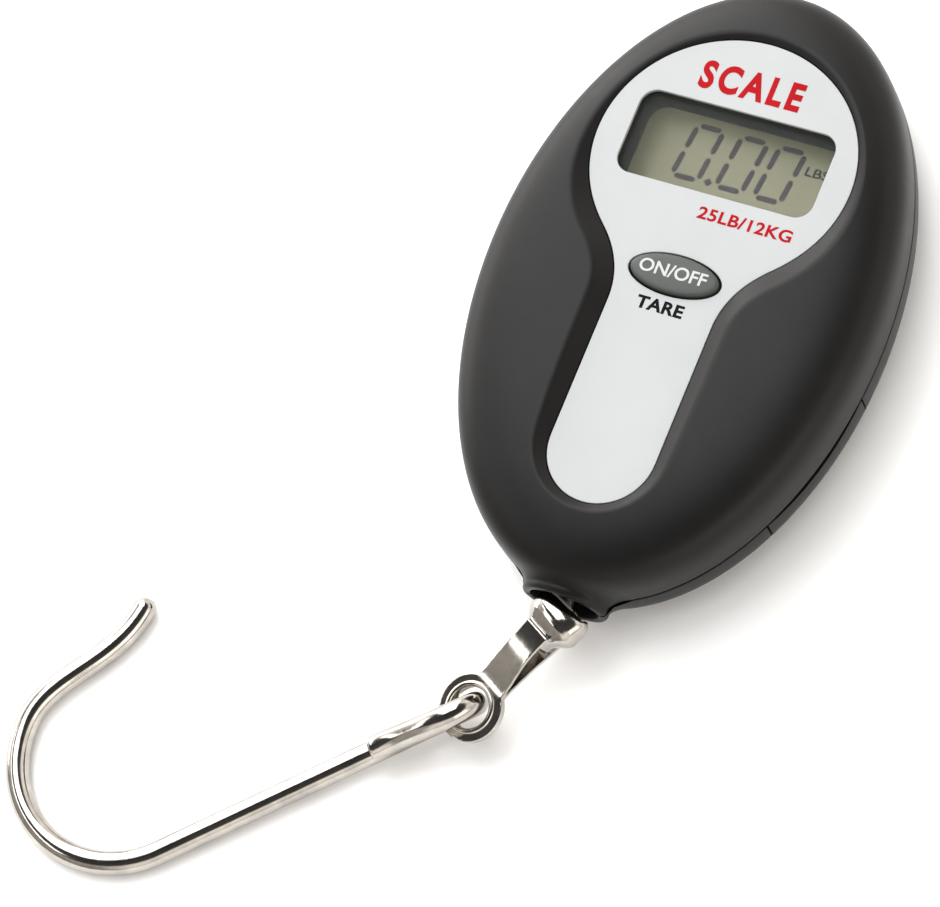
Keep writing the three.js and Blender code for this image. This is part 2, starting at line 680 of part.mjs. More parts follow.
addPart(scale, "front_shell", frontShell(), softBlack());
addPart(scale, "rear_shell", rearShell(), softBlack());
addPart(scale, "battery_door", batteryDoor(), softBlack());
addPart(scale, "faceplate", faceplate(), material(0xe2e4e3, 0.35, 0.1));
addPart(scale, "window_lens", windowLens(), material(0xdfe6e4, 0.05, 0));
addPart(scale, "lcd_frame", lcdFrame(), darkPlastic());
addPart(
  scale, "lcd_panel",
  plate(roundedRectangle(16.6, 8.7, 0.4, 0, WINDOW_Y), GLASS_TOP_Z - 1.9, GLASS_TOP_Z, 4),
  material(0x918f7a, 0.3, 0),
);
addPart(
  scale, "zebra_strip",
  block(-14, 14, WINDOW_Y - 8.2, WINDOW_Y - 6, BOARD_TOP_Z + 0.1, GLASS_TOP_Z - 2),
  material(0x8a5a66, 0.8, 0),
);
addPart(
  scale, "main_board",
  plate(
    roundedRectangle(
      BOARD_HALF_WIDTH, (BOARD_HIGH_Y - BOARD_LOW_Y) / 2, 6, 0, (BOARD_HIGH_Y + BOARD_LOW_Y) / 2,
    ), BOARD_BOTTOM_Z, BOARD_TOP_Z, 6,
  ),
  material(0x1e6b3a, 0.45, 0),
);
addPart(
  scale, "controller_blob",
  toSolid(turned([[0, 7.5], [4.5, 7.5], [4.2, 7], [3, 6.5], [0, 6.2]], 28).translate(-8, 12, 0)),
  material(0x0c0c0d, 0.35, 0),
);
addPart(scale, "button_cap", buttonCap(), material(0x76807a, 0.6, 0));
addPart(scale, "switch_body", switchBody(), darkPlastic());
addPart(scale, "switch_plunger", post(0, BUTTON_Y, 1.7, 12, 13.05, 20), material(0xd8d2c0, 0.5, 0));

SCREW_PLACES.forEach(([x, y], i) => {
  addPart(scale, `case_screw_${i + 1}`, screw(x, y, 2.1, SCREW_HEAD_Z, 1.6, 1.1, 13.8), steel());
});

addPart(scale, "load_cell", loadCell(), material(0xb9bcc0, 0.35, 1));
beamPosts.forEach((x, i) => {
  addPart(scale, `load_cell_screw_${i + 1}`, screw(x, BEAM_SCREW_Y, 2, 7.8, 1.3, 1.15, 16), steel());
});
["left", "right"].forEach((side, i) => {
  const inner = (BEAM_HALF_WIDTH + 0.1) * (2 * i - 1);
  const outer = (BEAM_HALF_WIDTH + 0.4) * (2 * i - 1);
  const pad = block(Math.min(inner, outer), Math.max(inner, outer), -29.5, -24.5, 10, 13.4);
  addPart(scale, `strain_gauge_${side}`, pad, material(0xc98a3a, 0.4, 0));
});
addPart(scale, "hanger_bracket", hangerBracket(), steel());
addPart(scale, "hanger_screw", screw(0, HANGER_SCREW_Y, 1.6, 6.1, 1.4, 1, 13.6), steel());
addPart(scale, "swivel_stud", swivelStud(), steel());

addPart(scale, "battery_holder", batteryHolder(), darkPlastic());
addPart(
  scale, "coin_cell", post(CELL.x, CELL.y, CELL.radius, CELL.bottomZ, CELL.topZ, 48),
  material(0xc9cbcc, 0.25, 1),
);
addPart(scale, "contact_negative", contactNegative(), steel());
addPart(scale, "contact_positive", contactPositive(), steel());
addPart(
  scale, "gauge_ribbon",
  bentStrip([[-27, 11.2], [-20, 11.3], [-13, 10.6], [-7, 9.3], [-2.2, 9.1]], 0.3, -9.6, -7),
  material(0xb9823c, 0.5, 0),
);
addPart(
  scale, "battery_lead_red", lead([[19.9, -14.2, 8.9], [18.6, -9, 9.4], [15.5, -5, 9.7], [14, -1.5, 9.5]]),
  material(0xb01818, 0.5, 0),
);
addPart(
  scale, "battery_lead_black",
  lead([[-2.3, -10.3, 8.5], [-4, -9, 8.8], [-5.2, -6, 9.7], [-5.2, -1.5, 9.7]]),
  material(0x101010, 0.5, 0),
);

const link = new THREE.Group();
link.position.copy(PIVOT);
link.rotation.set(LINK_DROOP, 0, LINK_AZIMUTH, "ZXY");
addPart(link, "link_strap", linkStrap(), nickel());
addPart(link, "link_eyelet", linkEyelet(), nickel());
scale.add(link);
addPart(scale, "hook", hook(), nickel());

export default scale;
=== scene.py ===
import json
import math

import bmesh
import bpy
import numpy as np
from mathutils import Matrix, Vector

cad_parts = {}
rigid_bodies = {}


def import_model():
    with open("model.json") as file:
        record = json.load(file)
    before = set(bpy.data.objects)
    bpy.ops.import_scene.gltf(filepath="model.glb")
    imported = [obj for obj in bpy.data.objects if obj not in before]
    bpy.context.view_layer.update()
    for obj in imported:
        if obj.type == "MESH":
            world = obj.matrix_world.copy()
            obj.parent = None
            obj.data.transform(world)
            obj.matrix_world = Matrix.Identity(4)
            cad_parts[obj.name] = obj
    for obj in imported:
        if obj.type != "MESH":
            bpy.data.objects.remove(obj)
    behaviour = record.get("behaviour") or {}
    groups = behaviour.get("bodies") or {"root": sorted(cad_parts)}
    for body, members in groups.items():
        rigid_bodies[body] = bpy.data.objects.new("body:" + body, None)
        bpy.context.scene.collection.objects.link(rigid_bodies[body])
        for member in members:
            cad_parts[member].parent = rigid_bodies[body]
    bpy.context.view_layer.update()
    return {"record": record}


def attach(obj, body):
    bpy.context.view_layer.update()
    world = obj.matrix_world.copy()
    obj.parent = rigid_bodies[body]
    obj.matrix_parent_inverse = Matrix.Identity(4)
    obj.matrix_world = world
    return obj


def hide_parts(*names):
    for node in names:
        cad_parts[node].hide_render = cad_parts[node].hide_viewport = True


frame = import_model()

# Digital hanging scale for fish, lying on its back. Unless a comment says otherwise, lengths are in
# millimetres in the part's frame, and angles are in radians.
MM = 0.001

# Case
CASE_HALF_WIDTH = 29.05
CASE_HALF_LENGTH = 45.8
PARTING_Z = 10.0
HALF_SEAM = 0.15
BACK_DEPTH = 10.4
BACK_POWER = 3.5
FRONT_RISE = 10.35
FRONT_POWER = 4.6
WALL = 1.9
CAVITY_TOP_RISE = 6.6
CAVITY_FLOOR_DEPTH = 8.2
LIP_OUTER_SHARE = 0.999
LIP_INNER_SHARE = 0.9955

# Faceplate and its recess
FACE_Z = 18.8
PLATE_BOTTOM_Z = 18.2
BED_TOP_Z = 17.9
BED_BOTTOM_Z = 16.6
EDGE_ROUND = 0.1
STEM_HALF = 7.85
STEM_END_Y = -26.85
NECK_START_Y = -5.95
NECK_CORNER_Y = -0.1
NECK_ANGLE = -0.82
HEAD_Y = 17.95
HEAD_HALF_WIDTH = 19.2
HEAD_HALF_LENGTH = 18.3
SHELL_GAP = 0.16
RIM_SOFTNESS = 0.32
WINDOW = {"y": 19.05, "half_width": 14.85, "half_height": 6.47, "corner": 2.47}
BUTTON = {"y": -0.15, "half_width": 6.75, "half_height": 2.85}
GLASS_TOP_Z = 12.3
FRAME_BOTTOM_Z = 8.9
PRINT_THICKNESS = 0.02

# Snout, swivel and link
SNOUT_Z = 9.8
SNOUT_FLATTENING = 0.86
SNOUT_RADIUS = 6.35
MOUTH_RADIUS = 5.0
PIVOT = Vector((0, -49, 9.8))
LINK_LENGTH = 17.3
LINK_AZIMUTH = -0.5034
LINK_DROOP = 0.2155
STRAP = 0.6
TAB_RADIUS = 4.8
LINK_VOXEL = 0.11
EYELET_RADIUS = 2.9

# Hook
WIRE_RADIUS = 1.7
BEND_CENTRE = (-55.5, -84.65)
BEND_RADIUS = 15.75
SHANK_ANGLE = 0.7645
SHANK_LENGTH = 46.0
SHANK_LOW_Z = 1.75
SHANK_HIGH_Z = 2.3
EYE_RADIUS = 3.4
EYE_LEAN = 0.4
CUT_END_BACK = 12.7
CUT_END_RISE = 3.25

# Battery door
DOOR_CENTRE = (12.04, -13.97)
DOOR_TURN = -0.2487
DOOR_RADIUS = 10.9
DOOR_GAP = 0.15
DOOR_REACH = 30
NAIL_GAP = 0.6
SCREW_PLACES = [(22.4, 6), (-22.4, 6), (12.5, -31.5), (-12.5, -31.5)]
SCREW_SEAT_Z = 5.2


# ---------- camera ----------

# Fitted to the photograph.
SENSOR_WIDTH = 36
LENS = 191.49
CAMERA_PLACE = Vector((238.3, -204.85, 628.9)) * MM
CAMERA_RIGHT = Vector((0.8872, 0.3770, -0.2661))
CAMERA_BACK = Vector((0.3745, -0.2516, 0.8924))


def make_camera():
    data = bpy.data.cameras.new("camera")
    data.sensor_width = SENSOR_WIDTH
    data.lens = LENS
    data.clip_start = 0.01
    camera = bpy.data.objects.new("camera", data)
    back = CAMERA_BACK.normalized()
    up = back.cross(CAMERA_RIGHT).normalized()
    right = up.cross(back)
    turn = Matrix((right, up, back)).transposed().to_4x4()
    camera.matrix_world = Matrix.Translation(CAMERA_PLACE) @ turn
    bpy.context.collection.objects.link(camera)
    bpy.context.scene.camera = camera


# ---------- materials ----------

def new_material(name):
    look = bpy.data.materials.new(name)
    look.use_nodes = True
    shader = look.node_tree.nodes["Principled BSDF"]
    return look, look.node_tree, shader


def add_node(tree, kind, values=None, **settings):
    node = tree.nodes.new(kind)
    for key, value in settings.items():
        setattr(node, key, value)
    for key, value in (values or {}).items():
        node.inputs[key].default_value = value
    return node


def place_noise(tree, scale, detail=4.0, roughness=0.55, stretch=None):
    """Noise over the object's own metres. Its result is the noise node."""
    place = add_node(tree, "ShaderNodeTexCoord")
    settings = {"Scale": scale, "Detail": detail, "Roughness": roughness}
    noise = add_node(tree, "ShaderNodeTexNoise", settings)
    source = place.outputs["Object"]
    if stretch:
        mapping = add_node(tree, "ShaderNodeMapping", {"Scale": stretch})
        tree.links.new(source, mapping.inputs["Vector"])
        source = mapping.outputs["Vector"]
    tree.links.new(source, noise.inputs["Vector"])
    return noise


def ramp(tree, source, stops):
    node = add_node(tree, "ShaderNodeValToRGB")
    elements = node.color_ramp.elements
    while len(elements) < len(stops):
        elements.new(0.5)
    for element, (place, colour) in zip(elements, stops):
        element.position = place
        element.color = (*colour, 1.0) if len(colour) == 3 else colour
    tree.links.new(source, node.inputs["Fac"])
    return node


def grey(value):
    return (value, value, value)


def spread(tree, source, low, high):
    node = add_node(tree, "ShaderNodeMapRange", {"To Min": low, "To Max": high})
    tree.links.new(source, node.inputs["Value"])
    return node.outputs["Result"]


def bump(tree, shader, heights):
    """Chains bumps, each a (socket, strength, distance in metres)."""
    previous = None
    for source, strength, distance in heights:
        node = add_node(tree, "ShaderNodeBump", {"Strength": strength, "Distance": distance})
        tree.links.new(source, node.inputs["Height"])
        if previous:
            tree.links.new(previous, node.inputs["Normal"])
        previous = node.outputs["Normal"]
    tree.links.new(previous, shader.inputs["Normal"])


def moulded(name, dark, light, rough_low, rough_high, grain=5200.0, grain_depth=0.00002, **constants):
    """Moulded plastic: mottled colour, uneven gloss and a fine spark-eroded grain."""
    look, tree, shader = new_material(name)
    clouds = place_noise(tree, 90.0, 5.0)
    tone = ramp(tree, clouds.outputs["Fac"], [(0.3, dark), (0.7, light)])
    tree.links.new(tone.outputs["Color"], shader.inputs["Base Color"])
    smears = place_noise(tree, 260.0, 6.0, 0.65)
    tree.links.new(spread(tree, smears.outputs["Fac"], rough_low, rough_high), shader.inputs["Roughness"])
    fine = place_noise(tree, grain, 2.0)
    wavy = place_noise(tree, 60.0, 2.0)
    bump(tree, shader, [(fine.outputs["Fac"], 0.35, grain_depth), (wavy.outputs["Fac"], 0.1, 0.0001)])
    for key, value in constants.items():
        shader.inputs[key.replace("_", " ")].default_value = value
    return look


def metal(name, base, warm, rough_low, rough_high, mark_depth, stretch=None):
    """Plated or milled metal: slight tint changes, uneven polish and fine marks."""
    look, tree, shader = new_material(name)
    shader.inputs["Metallic"].default_value = 1.0
    clouds = place_noise(tree, 240.0, 5.0)
    tone = ramp(tree, clouds.outputs["Fac"], [(0.35, base), (0.68, warm)])
    tree.links.new(tone.outputs["Color"], shader.inputs["Base Color"])
    smears = place_noise(tree, 700.0, 6.0, 0.7)
    tree.links.new(spread(tree, smears.outputs["Fac"], rough_low, rough_high), shader.inputs["Roughness"])
    marks = place_noise(tree, 1500.0, 3.0, 0.6, stretch)
    bump(tree, shader, [
        (marks.outputs["Fac"], 0.3, mark_depth), (clouds.outputs["Fac"], 0.2, 3 * mark_depth),
    ])
    return look


def window_material():
    look, tree, shader = new_material("clear_window")
    haze = place_noise(tree, 140.0, 4.0)
    tree.links.new(spread(tree, haze.outputs["Fac"], 0.04, 0.09), shader.inputs["Roughness"])
    tint = ramp(tree, haze.outputs["Fac"], [(0.3, (0.22, 0.24, 0.235)), (0.7, (0.27, 0.29, 0.285))])
    tree.links.new(tint.outputs["Color"], shader.inputs["Base Color"])
    shader.inputs["Alpha"].default_value = 0.05
    return look


def lcd_material():
    """Grey-green cell: a faint electrode pattern over an uneven reflective backing."""
    look, tree, shader = new_material("lcd_glass")
    clouds = place_noise(tree, 70.0, 3.0)
    tone = ramp(tree, clouds.outputs["Fac"], [
        (0.3, (0.205, 0.202, 0.115)), (0.7, (0.233, 0.229, 0.136)),
    ])
    speckle = place_noise(tree, 9000.0, 1.0)
    mix = add_node(tree, "ShaderNodeMix", data_type="RGBA", blend_type="MULTIPLY")
    mix.inputs[0].default_value = 0.14
    tree.links.new(tone.outputs["Color"], mix.inputs[6])
    tree.links.new(speckle.outputs["Color"], mix.inputs[7])
    tree.links.new(mix.outputs[2], shader.inputs["Base Color"])
    tree.links.new(spread(tree, clouds.outputs["Fac"], 0.22, 0.34), shader.inputs["Roughness"])
    shader.inputs["Specular IOR Level"].default_value = 0.25
    bump(tree, shader, [(speckle.outputs["Fac"], 0.08, 0.00001)])
    return look


def ink(name, dark, light):
    """Screen-printed ink with a slightly uneven film."""
    return moulded(name, dark, light, 0.45, 0.6, 3500.0, 0.000006, Specular_IOR_Level=0.05)


LOOKS = {
    "soft_touch_black": moulded(
        "soft_touch_black", (0.0056, 0.0053, 0.0053), (0.008, 0.0075, 0.0075), 0.36, 0.46,
        Specular_IOR_Level=0.2,
    ),
    "face_white": moulded(
        "face_white", (0.355, 0.37, 0.376), (0.377, 0.392, 0.397), 0.32, 0.42, 9000.0, 0.000006,
        Specular_IOR_Level=0.35,
    ),
    "clear_window": window_material(),
    "dark_plastic": moulded("dark_plastic", (0.004, 0.005, 0.006), (0.007, 0.008, 0.01), 0.55, 0.7,
                            Specular_IOR_Level=0.15),
    "lcd_glass": lcd_material(),
    "lcd_segment": ink("lcd_segment", (0.05, 0.042, 0.045), (0.062, 0.053, 0.056)),
    "lcd_legend": ink("lcd_legend", (0.022, 0.022, 0.021), (0.032, 0.032, 0.03)),
    "rubber_strip": moulded("rubber_strip", (0.26, 0.1, 0.13), (0.34, 0.15, 0.18), 0.6, 0.75),
    "circuit_board": moulded("circuit_board", (0.012, 0.11, 0.04), (0.03, 0.17, 0.06), 0.3, 0.42),
    "epoxy_blob": moulded("epoxy_blob", grey(0.008), grey(0.014), 0.25, 0.35),
    "button_rubber": moulded("button_rubber", (0.038, 0.042, 0.038), (0.047, 0.052, 0.047), 0.45, 0.58),
    "ivory_plastic": moulded("ivory_plastic", (0.6, 0.57, 0.45), (0.7, 0.67, 0.54), 0.4, 0.5),
    "steel": metal("steel", (0.58, 0.57, 0.55), (0.66, 0.64, 0.61), 0.2, 0.34, 0.00002),
    "beam_aluminium": metal("beam_aluminium", (0.6, 0.61, 0.63), (0.68, 0.69, 0.7), 0.3, 0.42, 0.00003,
                            (1.0, 0.06, 1.0)),
    "gauge_film": moulded("gauge_film", (0.48, 0.22, 0.04), (0.6, 0.3, 0.07), 0.25, 0.35),
    "cell_steel": metal("cell_steel", (0.64, 0.64, 0.64), (0.72, 0.71, 0.7), 0.14, 0.24, 0.00001),
    "nickel": metal("nickel", (0.37, 0.35, 0.325), (0.56, 0.525, 0.475), 0.06, 0.18, 0.000024),
    "lead_red": moulded("lead_red", (0.4, 0.015, 0.015), (0.5, 0.03, 0.025), 0.3, 0.4),
    "lead_black": moulded("lead_black", grey(0.01), grey(0.016), 0.3, 0.4),
    "print_red": ink("print_red", (0.3, 0.003, 0.007), (0.34, 0.006, 0.01)),
    "print_black": ink("print_black", grey(0.003), grey(0.006)),
    "print_white": ink("print_white", (0.45, 0.465, 0.46), (0.5, 0.51, 0.505)),
}


def dress_cad_nodes():
    for part in frame["record"]["subparts"]:
        node = bpy.data.objects[part["node"]]
        look = LOOKS[part["material_slot"]]
        for slot in node.material_slots:
            slot.material = look
        if not node.material_slots:
            node.data.materials.append(look)


# ---------- mesh helpers ----------

def make_object(name, vertices, faces):
    """A linked object from millimetre vertices."""
    mesh = bpy.data.meshes.new(name)
    mesh.from_pydata([tuple(float(c) * MM for c in v) for v in vertices], [], faces)
    shape = bmesh.new()
    shape.from_mesh(mesh)
    bmesh.ops.remove_doubles(shape, verts=shape.verts, dist=1e-7)
    bmesh.ops.dissolve_degenerate(shape, edges=shape.edges, dist=1e-7)
    bmesh.ops.recalc_face_normals(shape, faces=shape.faces)
    shape.to_mesh(mesh)
    shape.free()
    piece = bpy.data.objects.new(name, mesh)
    bpy.context.collection.objects.link(piece)
    return piece


def grid_faces(rows, columns, closed_rows, closed_columns):
    faces = []
    for j in range(rows if closed_rows else rows - 1):
        for i in range(columns if closed_columns else columns - 1):
            after_j = (j + 1) % rows
            after_i = (i + 1) % columns
            near, far = j * columns, after_j * columns
            faces.append((near + i, near + after_i, far + after_i, far + i))
    return faces


def loft(name, rings, closed_rows=False, cap_ends=False):
    """Skin over rings of equal length, each an array of points. Open ends are capped with fans."""
    rings = [np.asarray(ring, float) for ring in rings]
    columns = len(rings[0])
    vertices = np.concatenate(rings)
    faces = grid_faces(len(rings), columns, closed_rows, True)
    if cap_ends:
        for ring, start in ((rings[0], 0), (rings[-1], (len(rings) - 1) * columns)):
            centre = len(vertices)
            vertices = np.vstack([vertices, ring.mean(axis=0)])
            faces += [(start + i, start + (i + 1) % columns, centre) for i in range(columns)]
    return make_object(name, vertices, faces)


def apply_modifiers(piece):
    graph = bpy.context.evaluated_depsgraph_get()
    mesh = bpy.data.meshes.new_from_object(piece.evaluated_get(graph))
    piece.modifiers.clear()
    piece.data = mesh
    return piece


def remove(*pieces):
    for piece in pieces:
        bpy.data.objects.remove(piece)


def join(name, pieces):
    """One object from several whose places are all in their meshes."""
    shape = bmesh.new()
    for piece in pieces:
        shape.from_mesh(piece.data)
    mesh = bpy.data.meshes.new(name)
    shape.to_mesh(mesh)
    shape.free()
    remove(*pieces)
    whole = bpy.data.objects.new(name, mesh)
    bpy.context.collection.objects.link(whole)
    return whole


def combine(piece, cutter, operation):
    modifier = piece.modifiers.new("cut", "BOOLEAN")
    modifier.operation = operation
    modifier.object = cutter
    modifier.solver = "EXACT"
    modifier.use_self = True
    apply_modifiers(piece)
    remove(cutter)
    return piece


def shade(piece, angle=35.0):
    limit = math.radians(angle)
    shape = bmesh.new()
    shape.from_mesh(piece.data)
    for face in shape.faces:
        face.smooth = True
    for edge in shape.edges:
        edge.smooth = len(edge.link_faces) == 2 and edge.calc_face_angle(0.0) < limit
    shape.to_mesh(piece.data)
    shape.free()


def settle(piece, body, look, nodes=(), angle=35.0):
    """Gives a finished piece its shading, material and body, and hides the CAD nodes that it stands for."""
    shade(piece, angle)
    piece.data.materials.clear()
    piece.data.materials.append(LOOKS[look])
    if nodes:
        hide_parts(*nodes)
    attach(piece, body)
    return piece


def prism(name, outline, low_z, high_z):
    low = [(x, y, low_z) for x, y in outline]
    high = [(x, y, high_z) for x, y in outline]
    count = len(low)
    faces = grid_faces(2, count, False, True) + [tuple(range(count)), tuple(range(count, 2 * count))]
    return make_object(name, low + high, faces)


def plate(name, outlines, low_z, high_z, edge=0.0):
    """Flat plate from an outline and the holes in it, with rounded edges."""
    data = bpy.data.curves.new(name, "CURVE")
    data.dimensions = "2D"
    data.fill_mode = "BOTH"
    for outline in outlines:
        spline = data.splines.new("POLY")
        spline.points.add(len(outline) - 1)
        for point, (x, y) in zip(spline.points, outline):
            point.co = (x * MM, y * MM, 0, 1)
        spline.use_cyclic_u = True
    data.extrude = ((high_z - low_z) / 2 - edge) * MM
    data.bevel_depth = edge * MM
    data.offset = -edge * MM
    data.bevel_resolution = 2
    curve = bpy.data.objects.new(name, data)
    bpy.context.collection.objects.link(curve)
    graph = bpy.context.evaluated_depsgraph_get()
    mesh = bpy.data.meshes.new_from_object(curve.evaluated_get(graph))
    mesh.transform(Matrix.Translation((0, 0, (low_z + high_z) / 2 * MM)))
    remove(curve)
    shape = bmesh.new()
    shape.from_mesh(mesh)
    bmesh.ops.remove_doubles(shape, verts=shape.verts, dist=1e-7)
    bmesh.ops.recalc_face_normals(shape, faces=shape.faces)
    shape.to_mesh(mesh)
    shape.free()
    piece = bpy.data.objects.new(name, mesh)
    bpy.context.collection.objects.link(piece)
    return piece


def ellipse(half_width, half_height, y=0.0, count=128):
    angles = np.linspace(0, 2 * np.pi, count, endpoint=False)
    return [(half_width * math.cos(a), y + half_height * math.sin(a)) for a in angles]


def rounded_rectangle(half_width, half_height, corner, y=0.0, count=12):
    points = []
    for turn, (sx, sy) in enumerate([(1, 1), (-1, 1), (-1, -1), (1, -1)]):
        for k in range(count + 1):
            angle = math.pi / 2 * (turn + k / count)
            points.append((
                sx * (half_width - corner) + corner * math.cos(angle),
                y + sy * (half_height - corner) + corner * math.sin(angle),
            ))
    return points


def window_outline(margin):
    return rounded_rectangle(
        WINDOW["half_width"] + margin, WINDOW["half_height"] + margin,
        WINDOW["corner"] + margin, WINDOW["y"],
    )


def button_outline(margin):
    return ellipse(BUTTON["half_width"] + margin, BUTTON["half_height"] + margin, BUTTON["y"])


# ---------- case ----------

COLUMNS = 480


def keyhole(offset, count=COLUMNS):
    """The keyhole outline, evenly spaced and pushed out along its normals."""
    neck_x = HEAD_HALF_WIDTH * math.cos(NECK_ANGLE)
    neck_y = HEAD_Y + HEAD_HALF_LENGTH * math.sin(NECK_ANGLE)
    steps = np.linspace(0, 1, 200, endpoint=False)[:, None]
    foot = np.pi * (1 + steps)
    head = NECK_ANGLE + steps * (np.pi - 2 * NECK_ANGLE)
    stem = np.array([STEM_HALF, STEM_END_Y])
    neck = np.array([STEM_HALF, NECK_START_Y])
    corner = np.array([STEM_HALF, NECK_CORNER_Y])
    throat = np.array([neck_x, neck_y])
    flip = np.array([-1, 1])
    bend = (1 - steps) ** 2 * neck + 2 * steps * (1 - steps) * corner + steps ** 2 * throat
    back_bend = (1 - steps) ** 2 * throat + 2 * steps * (1 - steps) * corner + steps ** 2 * neck
    line = np.vstack([
        np.hstack([STEM_HALF * np.cos(foot), STEM_END_Y + STEM_HALF * np.sin(foot)]),
        stem + steps * (neck - stem),
        bend,
        np.hstack([HEAD_HALF_WIDTH * np.cos(head), HEAD_Y + HEAD_HALF_LENGTH * np.sin(head)]),
        back_bend * flip,
        (neck + steps * (stem - neck)) * flip,
    ])
    for _ in range(30):
        line = (np.roll(line, 1, 0) + 2 * line + np.roll(line, -1, 0)) / 4
    gaps = np.linalg.norm(np.roll(line, -1, 0) - line, axis=1)
    reach = np.concatenate([[0], np.cumsum(gaps)])
    wanted = np.linspace(0, reach[-1], count, endpoint=False)
    closed = np.vstack([line, line[:1]])
    even = np.stack([np.interp(wanted, reach, closed[:, k]) for k in (0, 1)], axis=1)
    along = np.roll(even, -1, 0) - np.roll(even, 1, 0)
    along /= np.linalg.norm(along, axis=1)[:, None]
    out = np.stack([along[:, 1], -along[:, 0]], axis=1)
    offset = np.asarray(offset, float).reshape(-1, 1)
    return even + out * offset


def front_reach(z):
    """Share of the full outline that the front dome has at a height."""
    return (1 - ((z - PARTING_Z) / FRONT_RISE) ** FRONT_POWER) ** (1 / FRONT_POWER)


def back_reach(z):
    return (1 - ((PARTING_Z - z) / BACK_DEPTH) ** BACK_POWER) ** (1 / BACK_POWER)


def dome(points, half_width, half_length, rise):
    share = np.sqrt((points[:, 0] / half_width) ** 2 + (points[:, 1] / half_length) ** 2)
    share = np.clip(share, 0, 0.99999)
    return PARTING_Z + rise * (1 - share ** FRONT_POWER) ** (1 / FRONT_POWER)


def with_z(points, z):
    return np.column_stack([points, np.broadcast_to(z, len(points))])


def front_shell():
    base = keyhole(0)
    # The rim climbs faster and reaches further beside the stem than round the head.
    stemward = 1 / (1 + np.exp((base[:, 1] - 3) / 3.5))
    slope = 0.44 + 0.16 * stemward
    width = (dome(base, CASE_HALF_WIDTH, CASE_HALF_LENGTH, FRONT_RISE) - FACE_Z + 0.5) / slope
    rings = [with_z(keyhole(SHELL_GAP), BED_BOTTOM_Z), with_z(keyhole(SHELL_GAP), FACE_Z - 0.12)]
    for share in np.linspace(0, 1, 26):
        offset = SHELL_GAP + 0.03 + share * (width - SHELL_GAP)
        points = keyhole(offset)
        climb = FACE_Z + 0.02 + slope * (offset - SHELL_GAP)
        top = dome(points, CASE_HALF_WIDTH, CASE_HALF_LENGTH, FRONT_RISE)
        blend = np.clip(0.5 + 0.5 * (top - climb) / RIM_SOFTNESS, 0, 1)
        height = top + (climb - top) * blend - RIM_SOFTNESS * blend * (1 - blend)
        rings.append(with_z(points, height))
    last = keyhole(width + 0.03)
    angles = np.unwrap(np.arctan2(last[:, 1] / CASE_HALF_LENGTH, last[:, 0] / CASE_HALF_WIDTH))
    circle = np.column_stack([np.cos(angles) * CASE_HALF_WIDTH, np.sin(angles) * CASE_HALF_LENGTH])
    top_share = 0.92
    for share in np.linspace(0, 1, 26)[1:]:
        points = last + share * (circle * top_share - last)
        rings.append(with_z(points, dome(points, CASE_HALF_WIDTH, CASE_HALF_LENGTH, FRONT_RISE)))
    top_z = PARTING_Z + FRONT_RISE * (1 - top_share ** FRONT_POWER) ** (1 / FRONT_POWER)
    seam_z = PARTING_Z + HALF_SEAM
    for z in np.linspace(top_z, seam_z + 0.25, 26)[1:]:
        rings.append(with_z(circle * front_reach(z), z))
    rings.append(with_z(circle * LIP_OUTER_SHARE, seam_z + 0.08))
    rings.append(with_z(circle * LIP_INNER_SHARE, seam_z))
    inner = circle * np.array([1 - WALL / CASE_HALF_WIDTH, 1 - WALL / CASE_HALF_LENGTH])
    rings.append(with_z(inner, seam_z))
    for z in np.linspace(seam_z, PARTING_Z + 5.4, 8)[1:]:
        share = (1 - ((z - PARTING_Z) / CAVITY_TOP_RISE) ** FRONT_POWER) ** (1 / FRONT_POWER)
        rings.append(with_z(inner * share, z))
    start = rings[-1][:, :2]
    goal = keyhole(SHELL_GAP)
    for share in np.linspace(0, 1, 7)[1:-1]:
        points = start + share * (goal - start)
        cavity = dome(points, CASE_HALF_WIDTH - WALL, CASE_HALF_LENGTH - WALL, CAVITY_TOP_RISE)
        rings.append(with_z(points, cavity))
    shell = loft("shell", rings, closed_rows=True)
    combine(shell, mouth_cutter(), "DIFFERENCE")
    bed = plate(
        "bed", [keyhole(SHELL_GAP + 0.02), window_outline(0.25), button_outline(0.3)],
        BED_BOTTOM_Z, BED_TOP_Z, EDGE_ROUND,
    )
    whole = join("front_shell_skin", [shell, bed, snout(True)])
    settle(whole, "case", "soft_touch_black", ["front_shell"])


def mouth_cutter():
    angles = np.linspace(0, 2 * np.pi, 96, endpoint=False)
    rings = []
    for y in (-47.6, -39.0):
        rings.append(np.column_stack([
            MOUTH_RADIUS * np.cos(angles), np.full(96, y),
            SNOUT_Z + MOUTH_RADIUS * SNOUT_FLATTENING * np.sin(angles),
        ]))
    return loft("mouth_cutter", rings, cap_ends=True)


def case_end(radius, angle, front):
    """Where the case's lower end is, along Y, at a place round the snout's axis."""
    x = radius * math.cos(angle)
    z = SNOUT_Z + SNOUT_FLATTENING * radius * math.sin(angle)
    share = front_reach(max(z, PARTING_Z)) if front else back_reach(min(z, PARTING_Z))
    return -CASE_HALF_LENGTH * math.sqrt(share ** 2 - (x / CASE_HALF_WIDTH) ** 2)


